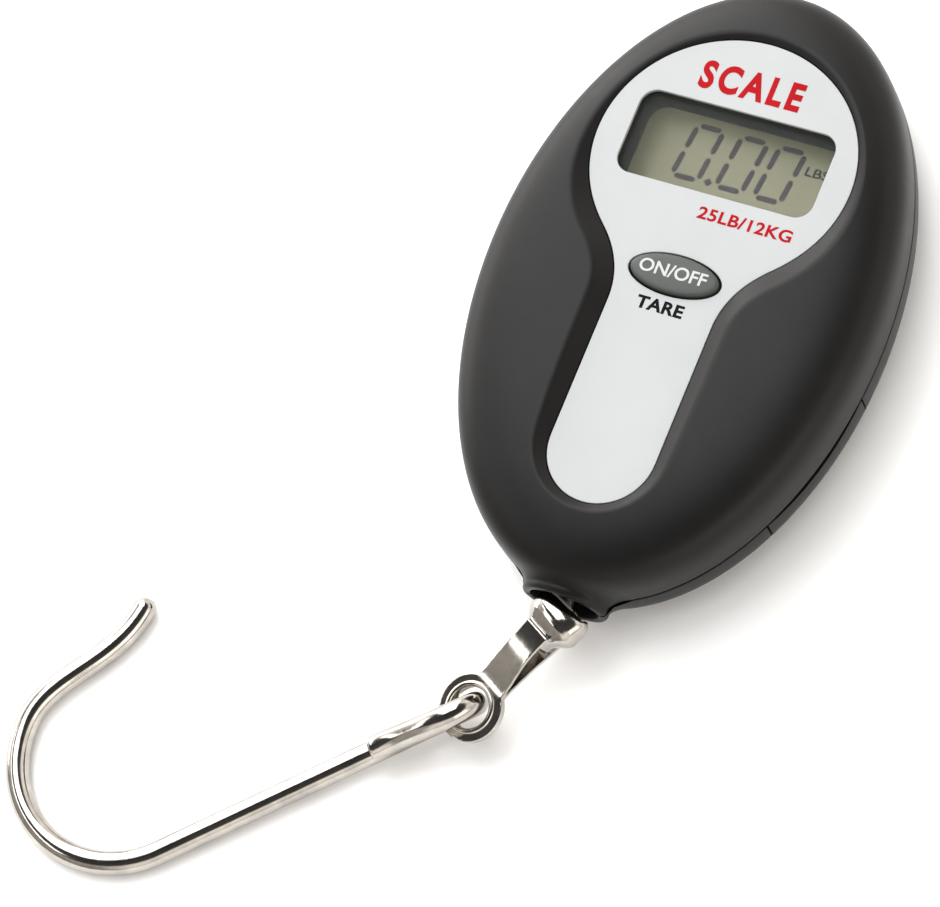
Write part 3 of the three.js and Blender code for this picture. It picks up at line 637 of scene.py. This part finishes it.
def snout(front):
    """Half of the mouth's collar, flowing into the case with a concave fillet."""
    seam_z = PARTING_Z + (HALF_SEAM if front else -HALF_SEAM)
    rings = []
    for angle in np.linspace(0, np.pi, 73) * (1 if front else -1):
        reach = 2.7 - 1.4 * abs(math.sin(angle)) ** 1.5
        foot = SNOUT_RADIUS + reach
        foot_y = case_end(foot, angle, front)
        slope = (case_end(foot + 0.1, angle, front) - case_end(foot - 0.1, angle, front)) / 0.2
        corner_y = foot_y - slope * reach
        top_y = max(corner_y - 1.7, -46.1)
        profile = [
            (MOUTH_RADIUS, -43.2), (MOUTH_RADIUS, -46.6), (5.08, -46.88), (5.3, -47.0),
            (5.7, -47.0), (6.05, -46.9), (6.28, -46.62), (SNOUT_RADIUS, -46.25),
        ]
        for t in np.linspace(0, 1, 14):
            radius = (1 - t) ** 2 * SNOUT_RADIUS + 2 * t * (1 - t) * SNOUT_RADIUS + t ** 2 * foot
            y = (1 - t) ** 2 * top_y + 2 * t * (1 - t) * corner_y + t ** 2 * foot_y
            profile.append((radius, y))
        profile.append((foot + 0.3, case_end(foot + 0.3, angle, front) + 0.06))
        profile.append((foot, foot_y + 0.9))
        ring = []
        for radius, y in profile:
            z = SNOUT_Z + SNOUT_FLATTENING * radius * math.sin(angle)
            z = max(z, seam_z) if front else min(z, seam_z)
            ring.append((radius * math.cos(angle), y, z))
        rings.append(ring)
    return loft("snout", rings, cap_ends=True)


def back_half(name):
    """The rear half of the pebble as a closed tray: flat outside, hollow inside."""
    angles = np.linspace(0, 2 * np.pi, 320, endpoint=False)
    circle = np.column_stack([np.cos(angles) * CASE_HALF_WIDTH, np.sin(angles) * CASE_HALF_LENGTH])
    seam_z = PARTING_Z - HALF_SEAM
    rings = []
    flat_share = back_reach(0)
    for share in (0.02, 0.2, 0.4, 0.52):
        rings.append(with_z(circle * share, 0.0))
    low_share = back_reach(1.5)
    for share in np.linspace(flat_share, low_share, 14):
        z = PARTING_Z - BACK_DEPTH * (1 - share ** BACK_POWER) ** (1 / BACK_POWER)
        rings.append(with_z(circle * share, max(z, 0.0)))
    for z in np.linspace(1.5, seam_z - 0.25, 24)[1:]:
        rings.append(with_z(circle * back_reach(z), z))
    rings.append(with_z(circle * LIP_OUTER_SHARE, seam_z - 0.08))
    rings.append(with_z(circle * LIP_INNER_SHARE, seam_z))
    inner = circle * np.array([1 - WALL / CASE_HALF_WIDTH, 1 - WALL / CASE_HALF_LENGTH])
    for z in np.linspace(seam_z, PARTING_Z - 7.6, 12):
        share = (1 - ((PARTING_Z - z) / CAVITY_FLOOR_DEPTH) ** BACK_POWER) ** (1 / BACK_POWER)
        rings.append(with_z(inner * share, z))
    for share in (0.55, 0.3, 0.02):
        rings.append(with_z(inner * share, PARTING_Z - CAVITY_FLOOR_DEPTH))
    return loft(name, rings, cap_ends=True)


def door_outline(radius):
    half_turn = np.linspace(math.pi / 2, 1.5 * math.pi, 64)
    points = [(radius * math.cos(a), radius * math.sin(a)) for a in half_turn]
    points += [(DOOR_REACH, -radius), (DOOR_REACH, radius)]
    cos, sin = math.cos(DOOR_TURN), math.sin(DOOR_TURN)
    centre_x, centre_y = DOOR_CENTRE
    return [(centre_x + cos * x - sin * y, centre_y + sin * x + cos * y) for x, y in points]


def round_post(name, x, y, radius, low_z, high_z, count=48):
    angles = np.linspace(0, 2 * np.pi, count, endpoint=False)
    outline = [(x + radius * math.cos(a), y + radius * math.sin(a)) for a in angles]
    return prism(name, outline, low_z, high_z)


def rear_shell():
    tray = back_half("tray")
    posts = join("posts", [round_post("post", x, y, 3.2, 2.8, 9.7) for x, y in SCREW_PLACES])
    combine(tray, posts, "UNION")
    bores = [round_post("bore", x, y, 2.4, -1, SCREW_SEAT_Z) for x, y in SCREW_PLACES]
    combine(tray, join("bores", bores), "DIFFERENCE")
    combine(tray, prism("door_space", door_outline(DOOR_RADIUS + DOOR_GAP), -1, 10.5), "DIFFERENCE")
    combine(tray, mouth_cutter(), "DIFFERENCE")
    whole = join("rear_shell_skin", [tray, snout(False)])
    settle(whole, "case", "soft_touch_black", ["rear_shell"])


def battery_door():
    door = back_half("battery_door_skin")
    combine(door, prism("door_body", door_outline(DOOR_RADIUS - DOOR_GAP), -1, 10.5), "INTERSECT")
    # The fingernail crescent, a shallow arc cut down from the parting face.
    radius = (DOOR_RADIUS ** 2 + NAIL_GAP ** 2) / (2 * NAIL_GAP)
    top = PARTING_Z - HALF_SEAM
    spread_angle = math.asin(DOOR_RADIUS / radius)
    arc = []
    for angle in np.linspace(-spread_angle, spread_angle, 48):
        arc.append((radius * math.sin(angle), top - NAIL_GAP + radius * (1 - math.cos(angle))))
    arc += [(DOOR_RADIUS, top + 2), (-DOOR_RADIUS, top + 2)]
    cos, sin = math.cos(DOOR_TURN), math.sin(DOOR_TURN)
    rings = []
    for out in (4.0, 32.0):
        rings.append([(
            DOOR_CENTRE[0] + cos * out - sin * side, DOOR_CENTRE[1] + sin * out + cos * side, z,
        ) for side, z in arc])
    combine(door, loft("crescent", rings, cap_ends=True), "DIFFERENCE")
    settle(door, "door", "soft_touch_black", ["battery_door"])


# ---------- face ----------

def faceplate():
    plate_piece = plate(
        "faceplate_skin", [keyhole(0, 720), window_outline(0), button_outline(0.25)],
        PLATE_BOTTOM_Z, FACE_Z, EDGE_ROUND,
    )
    settle(plate_piece, "case", "face_white", ["faceplate"], 12)


def lcd_frame():
    """Dark tunnel from the display glass up to the underside of the faceplate's bed."""
    opening = window_outline(0.3)
    outer = rounded_rectangle(18, 10.2, 1.5, WINDOW["y"])
    pocket = rounded_rectangle(16.9, 9, 0.5, WINDOW["y"])
    neck = rounded_rectangle(16.4, 8.1, 2, WINDOW["y"])
    skirt = plate("skirt", [outer, pocket], FRAME_BOTTOM_Z, 12.5, EDGE_ROUND)
    ledge = plate("ledge", [outer, opening], GLASS_TOP_Z + 0.1, GLASS_TOP_Z + 0.4, 0.05)
    tunnel = plate("tunnel", [neck, opening], GLASS_TOP_Z + 0.12, 16.62, 0.05)
    settle(join("lcd_frame_skin", [skirt, ledge, tunnel]), "case", "dark_plastic", ["lcd_frame"])


def button_cap():
    profile = [(0.98, 14.9), (0.98, 18.9), (0.975, 19.1), (0.955, 19.26), (0.91, 19.36), (0.82, 19.42),
               (0.65, 19.46), (0.4, 19.49), (0.15, 19.5)]
    angles = np.linspace(0, 2 * np.pi, 144, endpoint=False)
    rings = []
    for share, z in profile:
        rings.append(np.column_stack([
            share * BUTTON["half_width"] * np.cos(angles),
            BUTTON["y"] + share * BUTTON["half_height"] * np.sin(angles), np.full(144, z),
        ]))
    cap = loft("cap", rings, cap_ends=True)
    flange = plate("flange", [ellipse(8.2, 4.3, BUTTON["y"])], 15.0, 16.2, 0.1)
    stem = round_post("stem", 0, BUTTON["y"], 1.8, 13.4, 15.5)
    settle(join("button_cap_skin", [cap, flange, stem]), "button", "button_rubber", ["button_cap"])


def lettering(name, words, box, z, thickness, look, body, weight=0.0, shear=0.0, spacing=1.0):
    """Flat letters filling a (low x, high x, low y, high y) box."""
    data = bpy.data.curves.new(name, "FONT")
    data.body = words
    data.size = 0.01
    data.shear = shear
    data.space_character = spacing
    data.offset = weight * 0.01
    data.extrude = 0.0005
    data.resolution_u = 6
    text = bpy.data.objects.new(name, data)
    bpy.context.collection.objects.link(text)
    graph = bpy.context.evaluated_depsgraph_get()
    mesh = bpy.data.meshes.new_from_object(text.evaluated_get(graph))
    remove(text)
    places = np.array([v.co for v in mesh.vertices])
    low, high = places.min(axis=0), places.max(axis=0)
    goal_low = np.array([box[0], box[2], z]) * MM
    goal_high = np.array([box[1], box[3], z + thickness]) * MM
    places = goal_low + (places - low) / (high - low) * (goal_high - goal_low)
    mesh.vertices.foreach_set("co", places.ravel())
    piece = bpy.data.objects.new(name, mesh)
    bpy.context.collection.objects.link(piece)
    return settle(piece, body, look)


def segment(start, end, thickness):
    """Outline of one bar of a digit, with mitred ends."""
    start, end = np.array(start), np.array(end)
    along = (end - start) / np.linalg.norm(end - start)
    side = np.array([-along[1], along[0]]) * thickness / 2
    tip = along * thickness * 0.42
    return [
        start, start + tip - side, end - tip - side, end, end - tip + side, start + tip + side,
    ]


def display_digits():
    low, high, thickness, slant = 16.35, 24.35, 0.8, 0.114
    middle = (low + high) / 2
    outlines = []

    def place(point, left):
        x, y = point
        return (left + x + slant * (y - high), y)

    for left in (-7.58, -0.82, 5.0):
        bars = [
            ((0.0, high), (3.3, high)), ((0.0, low), (3.3, low)),
            ((-0.32, low + 0.28), (-0.32, middle - 0.28)), ((-0.32, middle + 0.28), (-0.32, high - 0.28)),
            ((3.62, low + 0.28), (3.62, middle - 0.28)), ((3.62, middle + 0.28), (3.62, high - 0.28)),
        ]
        for start, end in bars:
            outlines.append(segment(place(start, left), place(end, left), thickness))
    outlines.append([(-3.3 + dx, 16.55 + dy) for dx, dy in ((0.66, 0), (0, 0.64), (-0.66, 0), (0, -0.64))])
    bars = [prism("bar", outline, GLASS_TOP_Z + 0.01, GLASS_TOP_Z + 0.05) for outline in outlines]
    settle(join("display_digits", bars), "case", "lcd_segment")


def prints():
    lettering(
        "tare_print", "TARE", (-3.8, 3.25, -5.95, -4.05), FACE_Z, PRINT_THICKNESS,
        "print_black", "case", 0.036, spacing=1.06,
    )
    lettering(
        "capacity_print", "25LB/12KG", (-0.4, 13.7, 8.8, 10.65), FACE_Z, PRINT_THICKNESS,
        "print_red", "case", 0.026, spacing=1.06,
    )
    lettering(
        "word_print", "SCALE", (-7.9, 7.5, 27.4, 31.8), FACE_Z, PRINT_THICKNESS,
        "print_red", "case", 0.04, spacing=1.28,
    )
    lettering(
        "switch_print", "ON/OFF", (-5.2, 4.9, -0.87, 1.07), 19.44, 0.07, "print_white", "button", 0.016,
    )
    lettering(
        "unit_print", "LBS", (9.5, 13.0, 21.25, 22.65), GLASS_TOP_Z + 0.01, 0.04,
        "lcd_legend", "case", 0.016, 0.05,
    )


# ---------- hook, link and swivel ----------

def bezier(a, b, c, d, steps):
    t = np.linspace(0, 1, steps, endpoint=False)[:, None]
    return (1 - t) ** 3 * a + 3 * t * (1 - t) ** 2 * b + 3 * t * t * (1 - t) * c + t ** 3 * d


def hook_line():
    along = np.array([math.cos(SHANK_ANGLE), math.sin(SHANK_ANGLE), 0])
    side = np.array([along[1], -along[0], 0])
    centre = np.array([*BEND_CENTRE, SHANK_LOW_Z])
    bend_start = centre + np.array([-BEND_RADIUS, 0, 0])
    tip = bend_start + np.array([9.75, 22.3, 0])
    shank_start = centre + side * BEND_RADIUS
    shank_end = shank_start + along * SHANK_LENGTH
    shank_end[2] = SHANK_HIGH_Z
    up = np.array([0, 0, math.cos(EYE_LEAN)]) + side * math.sin(EYE_LEAN)
    eye_top = shank_end + up * 2 * EYE_RADIUS
    return_end = shank_end - along * CUT_END_BACK + side * 0.95
    return_end[2] += CUT_END_RISE
    turn = np.linspace(math.pi, 1.5 * math.pi + SHANK_ANGLE, 120, endpoint=False)[:, None]
    bend = centre + BEND_RADIUS * np.hstack([np.cos(turn), np.sin(turn), 0 * turn])
    straight = shank_start + np.linspace(0, 1, 90, endpoint=False)[:, None] * (shank_end - shank_start)
    half_turn = np.linspace(0, math.pi, 60, endpoint=False)[:, None]
    eye = shank_end + EYE_RADIUS * (np.sin(half_turn) * along + (1 - np.cos(half_turn)) * up)
    return np.vstack([
        bezier(tip, tip + [0, -10, 0], bend_start + [0, 8, 0], bend_start, 90),
        bend, straight, eye,
        bezier(eye_top, eye_top - along * 4.5, return_end + along * 5, return_end, 60),
        return_end[None],
    ])


def sweep(name, line, radii, sides=40):
    """Round tube along a line, its section carried along without twist."""
    along = np.gradient(line, axis=0)
    along /= np.linalg.norm(along, axis=1)[:, None]
    across = np.cross(along[0], [0, 0, 1.0])
    across /= np.linalg.norm(across)
    angles = np.linspace(0, 2 * np.pi, sides, endpoint=False)
    rings = []
    for centre, direction, radius in zip(line, along, radii):
        across = across - direction * across.dot(direction)
        across /= np.linalg.norm(across)
        other = np.cross(direction, across)
        rings.append(centre + radius * (np.outer(np.cos(angles), across) + np.outer(np.sin(angles), other)))
    return loft(name, rings, cap_ends=True)


def hook():
    line = hook_line()
    gaps = np.linalg.norm(np.diff(line, axis=0), axis=1)
    reach = np.concatenate([[0], np.cumsum(gaps)])
    total = reach[-1]
    # The point is turned to a blunt cone, and the cut end of the eye has a broken edge.
    stops = np.concatenate([
        [0, 0.05, 0.15, 0.4, 0.7, 1.0, 1.3, 1.6, 1.9, 2.3], np.linspace(2.8, total - 0.4, 420),
        [total - 0.2, total - 0.1, total],
    ])
    line = np.stack([np.interp(stops, reach, line[:, k]) for k in range(3)], axis=1)
    point = np.interp(stops, [0, 0.05, 0.7, 1.0, 1.3], [0.85, 1.0, 1.55, 1.66, WIRE_RADIUS])
    end = np.interp(total - stops, [0, 0.1, 0.2, 0.4], [1.3, 1.5, 1.62, WIRE_RADIUS])
    wire = sweep("hook_skin", line, np.minimum(point, end))
    settle(wire, "hook", "nickel", ["hook"], 50)


def superellipse(half_width, half_depth, power, count):
    angles = np.linspace(0, 2 * np.pi, count, endpoint=False)
    cos, sin = np.cos(angles), np.sin(angles)
    return np.column_stack([
        half_width * np.sign(cos) * np.abs(cos) ** (2 / power),
        half_depth * np.sign(sin) * np.abs(sin) ** (2 / power),
    ])


def hood(name, inset):
    """Pressed head of the link: a barrel across its top that narrows to the straps."""
    rings = []
    for y in np.concatenate([np.linspace(2.88, 0, 24), np.linspace(0, -4.4, 26)[1:]]):
        if y >= 0:
            half_width = 4.3 * (1 - (y / 2.9) ** 4) ** 0.25
            front = back = math.sqrt(2.9 ** 2 - y ** 2)
        else:
            taper = np.clip((-y - 1.0) / 3.0, 0, 1)
            ease = taper * taper * (3 - 2 * taper)
            half_width = 4.3 - 2.15 * ease
            front = np.interp(-y, [0, 0.8, 1.6, 2.3, 3.2, 4.4], [2.9, 2.78, 2.42, 2.2, 2.3, 2.5])
            back = 2.9 - 0.7 * ease
        width = max(half_width - inset, 0.1)
        section = superellipse(width, 1, 2.5, 72)
        depth = np.where(section[:, 1] > 0, max(front - inset, 0.1), max(back - inset, 0.1))
        lift = y * (1 - inset / 2.9) if y > 0 else y - inset * 0.3
        rings.append(np.column_stack([section[:, 0], np.full(72, lift), section[:, 1] * depth]))
    return loft(name, rings, cap_ends=True)


def strip(name, centreline, widths, thickness):
    """Bent strap: a centreline in the YZ plane with its half width along it."""
    centreline = np.array(centreline, float)
    reach = np.concatenate([[0], np.cumsum(np.linalg.norm(np.diff(centreline, axis=0), axis=1))])
    t = np.linspace(0, reach[-1], 70)
    degree = min(len(centreline) - 1, 4)
    fits = [np.polyfit(reach, centreline[:, k], degree) for k in (0, 1)]
    line = np.column_stack([np.polyval(fit, t) for fit in fits])
    along = np.gradient(line, axis=0)
    along /= np.linalg.norm(along, axis=1)[:, None]
    side = np.column_stack([-along[:, 1], along[:, 0]]) * thickness / 2
    section_ys = np.linspace(-1, 1, 17)
    half_widths = np.interp(line[:, 0], *zip(*sorted(widths)))
    rings = []
    for centre, offset, half in zip(line, side, half_widths):
        ring = [(half * s, *(centre + offset)) for s in section_ys]
        ring += [(half * s, *(centre - offset)) for s in section_ys[::-1]]
        rings.append(ring)
    return loft(name, rings, cap_ends=True)


def block(name, low, high):
    corners = [(low[0], low[1]), (high[0], low[1]), (high[0], high[1]), (low[0], high[1])]
    return prism(name, corners, low[2], high[2])


def link_turn():
    return (
        Matrix.Translation(PIVOT * MM)
        @ Matrix.Rotation(LINK_AZIMUTH, 4, "Z") @ Matrix.Rotation(LINK_DROOP, 4, "X")
    )


def link_strap():
    head = hood("head", 0.0)
    combine(head, hood("head_space", 0.6), "DIFFERENCE")
    combine(head, block("stud_slot", (-3.2, 0.2, -2.05), (3.2, 4, 1.3)), "DIFFERENCE")
    widths = [(-16, 2.7), (-11, 2.35), (-7, 2.1), (-5, 2.1), (-3, 2.15), (0, 3.2)]
    front_line = [
        (-2.6, 2.3), (-4.6, 2.28), (-6.6, 2.1), (-8.6, 1.6), (-10.6, 0.95), (-12.4, 0.5), (-14.2, 0.3),
    ]
    back_line = [(-0.3, -2.6), (-3, -2.35), (-7, -1.6), (-12, -0.45), (-14.2, -0.3)]
    front = strip("front", front_line, widths, STRAP)
    back = strip("back", back_line, widths, STRAP)
    tab = round_post("tab", 0, -LINK_LENGTH, TAB_RADIUS, -STRAP, STRAP, 96)
    eye = round_post("eye", 0, -LINK_LENGTH, EYELET_RADIUS + 0.35, -2, 2, 96)
    combine(tab, eye, "DIFFERENCE")
    whole = join("link_strap_skin", [head, front, back, tab])
    remesh = whole.modifiers.new("union", "REMESH")
    remesh.mode = "VOXEL"
    remesh.voxel_size = LINK_VOXEL * MM
    smooth = whole.modifiers.new("settle", "SMOOTH")
    smooth.factor = 0.5
    smooth.iterations = 6
    apply_modifiers(whole)
    whole.data.transform(link_turn())
    settle(whole, "link", "nickel", ["link_strap"], 80)


def turned(name, profile, count=96, closed=True):
    """Turns (radius, height) pairs about Z."""
    angles = np.linspace(0, 2 * np.pi, count, endpoint=False)
    circle = [np.cos(angles), np.sin(angles)]
    rings = [np.column_stack([r * circle[0], r * circle[1], np.full(count, z)]) for r, z in profile]
    return loft(name, rings, closed_rows=closed, cap_ends=not closed)


def link_eyelet():
    tube = EYELET_RADIUS + 0.3
    lip = EYELET_RADIUS + 0.85
    profile = []
    for sign in (-1, 1):
        arc = []
        for angle in np.linspace(0, math.pi, 14):
            arc.append((
                (lip + EYELET_RADIUS) / 2 + (lip - EYELET_RADIUS) / 2 * math.cos(angle),
                sign * (STRAP + 0.02 + 0.36 * math.sin(angle)),
            ))
        profile += arc if sign < 0 else arc[::-1]
        if sign > 0:
            profile += [(tube, STRAP + 0.02), (tube, -STRAP - 0.02)]
    eyelet = turned("link_eyelet_skin", profile)
    eyelet.data.transform(link_turn() @ Matrix.Translation((0, -LINK_LENGTH * MM, 0)))
    settle(eyelet, "link", "nickel", ["link_eyelet"], 50)


def swivel_stud():
    ball, neck = 1.9, 1.2
    start = math.asin(neck / ball)
    profile = [(ball * math.sin(a), -ball * math.cos(a)) for a in np.linspace(0.02, math.pi - start, 30)]
    profile += [(neck, 2.6), (neck, 8.2), (2.2, 8.2), (2.2, 9.0), (1.6, 9.5), (0.05, 9.5)]
    stud = turned("swivel_stud_skin", profile, 64, closed=False)
    # The turned height becomes Y.
    stud.data.transform(Matrix.Translation(PIVOT * MM) @ Matrix.Rotation(-math.pi / 2, 4, "X"))
    settle(stud, "swivel", "steel", ["swivel_stud"], 40)


# ---------- studio ----------

# The floor lies just under the case, so that their faces don't share a plane.
FLOOR_HALF = 1500
FLOOR_Z = -0.1


def floor():
    steps = np.linspace(-FLOOR_HALF, FLOOR_HALF, 9)
    vertices = [(x, y, FLOOR_Z) for y in steps for x in steps]
    ground = make_object("floor", vertices, grid_faces(9, 9, False, False))
    look, tree, shader = new_material("floor_paper")
    clouds = place_noise(tree, 3.0, 3.0)
    tone = ramp(tree, clouds.outputs["Fac"], [(0.3, grey(0.9)), (0.7, grey(0.92))])
    tree.links.new(tone.outputs["Color"], shader.inputs["Base Color"])
    shader.inputs["Roughness"].default_value = 0.9
    shader.inputs["Specular IOR Level"].default_value = 0.1
    ground.data.materials.append(look)


def area_light(name, place, size, power, colour=(1, 1, 1), aim=(0, -0.02, 0), mirrored=True):
    """Soft box with its place, size and aim in metres and its power in watts."""
    data = bpy.data.lights.new(name, "AREA")
    data.shape = "RECTANGLE"
    data.size, data.size_y = size
    data.energy = power
    data.color = colour
    light = bpy.data.objects.new(name, data)
    light.location = place
    light.rotation_euler = (Vector(aim) - Vector(place)).to_track_quat("-Z", "Y").to_euler()
    light.visible_glossy = mirrored
    bpy.context.collection.objects.link(light)


def studio():
    area_light("key", (-0.55, 0.55, 0.8), (0.8, 1.75), 18.0)
    area_light("side", (-1.1, 0.3, 0.22), (1.0, 0.4), 5.0)
    area_light("strip", (-0.68, -0.27, 0.68), (0.7, 0.12), 1.0)
    # Overhead silk, kept out of the mirrors: it opens the shadows on the floor.
    area_light("silk", (0.0, -0.05, 1.5), (1.3, 1.3), 13.0, mirrored=False)
    area_light("fill", (0.95, -0.4, 0.5), (0.9, 0.5), 1.8, (1.0, 0.95, 0.88))
    world = bpy.data.worlds.new("studio")
    bpy.context.scene.world = world
    world.use_nodes = True
    tree = world.node_tree
    place = add_node(tree, "ShaderNodeTexCoord")
    parts = add_node(tree, "ShaderNodeSeparateXYZ")
    tree.links.new(place.outputs["Generated"], parts.inputs["Vector"])
    rise = ramp(tree, parts.outputs["Z"], [
        (0.0, (1.2, 1.13, 1.06)), (0.3, (1.5, 1.42, 1.33)), (0.57, (1.55, 1.49, 1.4)), (0.69, grey(0.09)),
        (1.0, grey(0.06)),
    ])
    # The room is darker beyond the lower left, in line with the hook's shank.
    turn = add_node(tree, "ShaderNodeVectorMath", {1: (0.72, 0.69, 0.0)}, operation="DOT_PRODUCT")
    tree.links.new(place.outputs["Generated"], turn.inputs[0])
    across = add_node(tree, "ShaderNodeMapRange", {"From Min": -1.0, "From Max": 1.0})
    tree.links.new(turn.outputs["Value"], across.inputs["Value"])
    sides = ramp(tree, across.outputs["Result"], [(0.0, grey(0.3)), (0.13, grey(0.35)), (0.23, grey(1.0))])
    tone = add_node(tree, "ShaderNodeMix", data_type="RGBA", blend_type="MULTIPLY")
    tone.inputs[0].default_value = 1.0
    tree.links.new(rise.outputs["Color"], tone.inputs[6])
    tree.links.new(sides.outputs["Color"], tone.inputs[7])
    # Uneven tone keeps the mirrored room in the plated parts from looking like one flat grey.
    patches = add_node(tree, "ShaderNodeTexNoise", {"Scale": 5.0, "Detail": 3.0, "Roughness": 0.6})
    tree.links.new(place.outputs["Generated"], patches.inputs["Vector"])
    shades = ramp(tree, patches.outputs["Fac"], [(0.38, grey(0.75)), (0.62, grey(1.2))])
    uneven = add_node(tree, "ShaderNodeMix", data_type="RGBA", blend_type="MULTIPLY")
    uneven.inputs[0].default_value = 0.8
    tree.links.new(tone.outputs[2], uneven.inputs[6])
    tree.links.new(shades.outputs["Color"], uneven.inputs[7])
    background = tree.nodes["Background"]
    tree.links.new(uneven.outputs[2], background.inputs["Color"])
    background.inputs["Strength"].default_value = 1.0
    bpy.context.scene.view_settings.view_transform = "Standard"


make_camera()
dress_cad_nodes()
front_shell()
rear_shell()
battery_door()
faceplate()
lcd_frame()
button_cap()
display_digits()
prints()
hook()
link_strap()
link_eyelet()
swivel_stud()
floor()
studio()
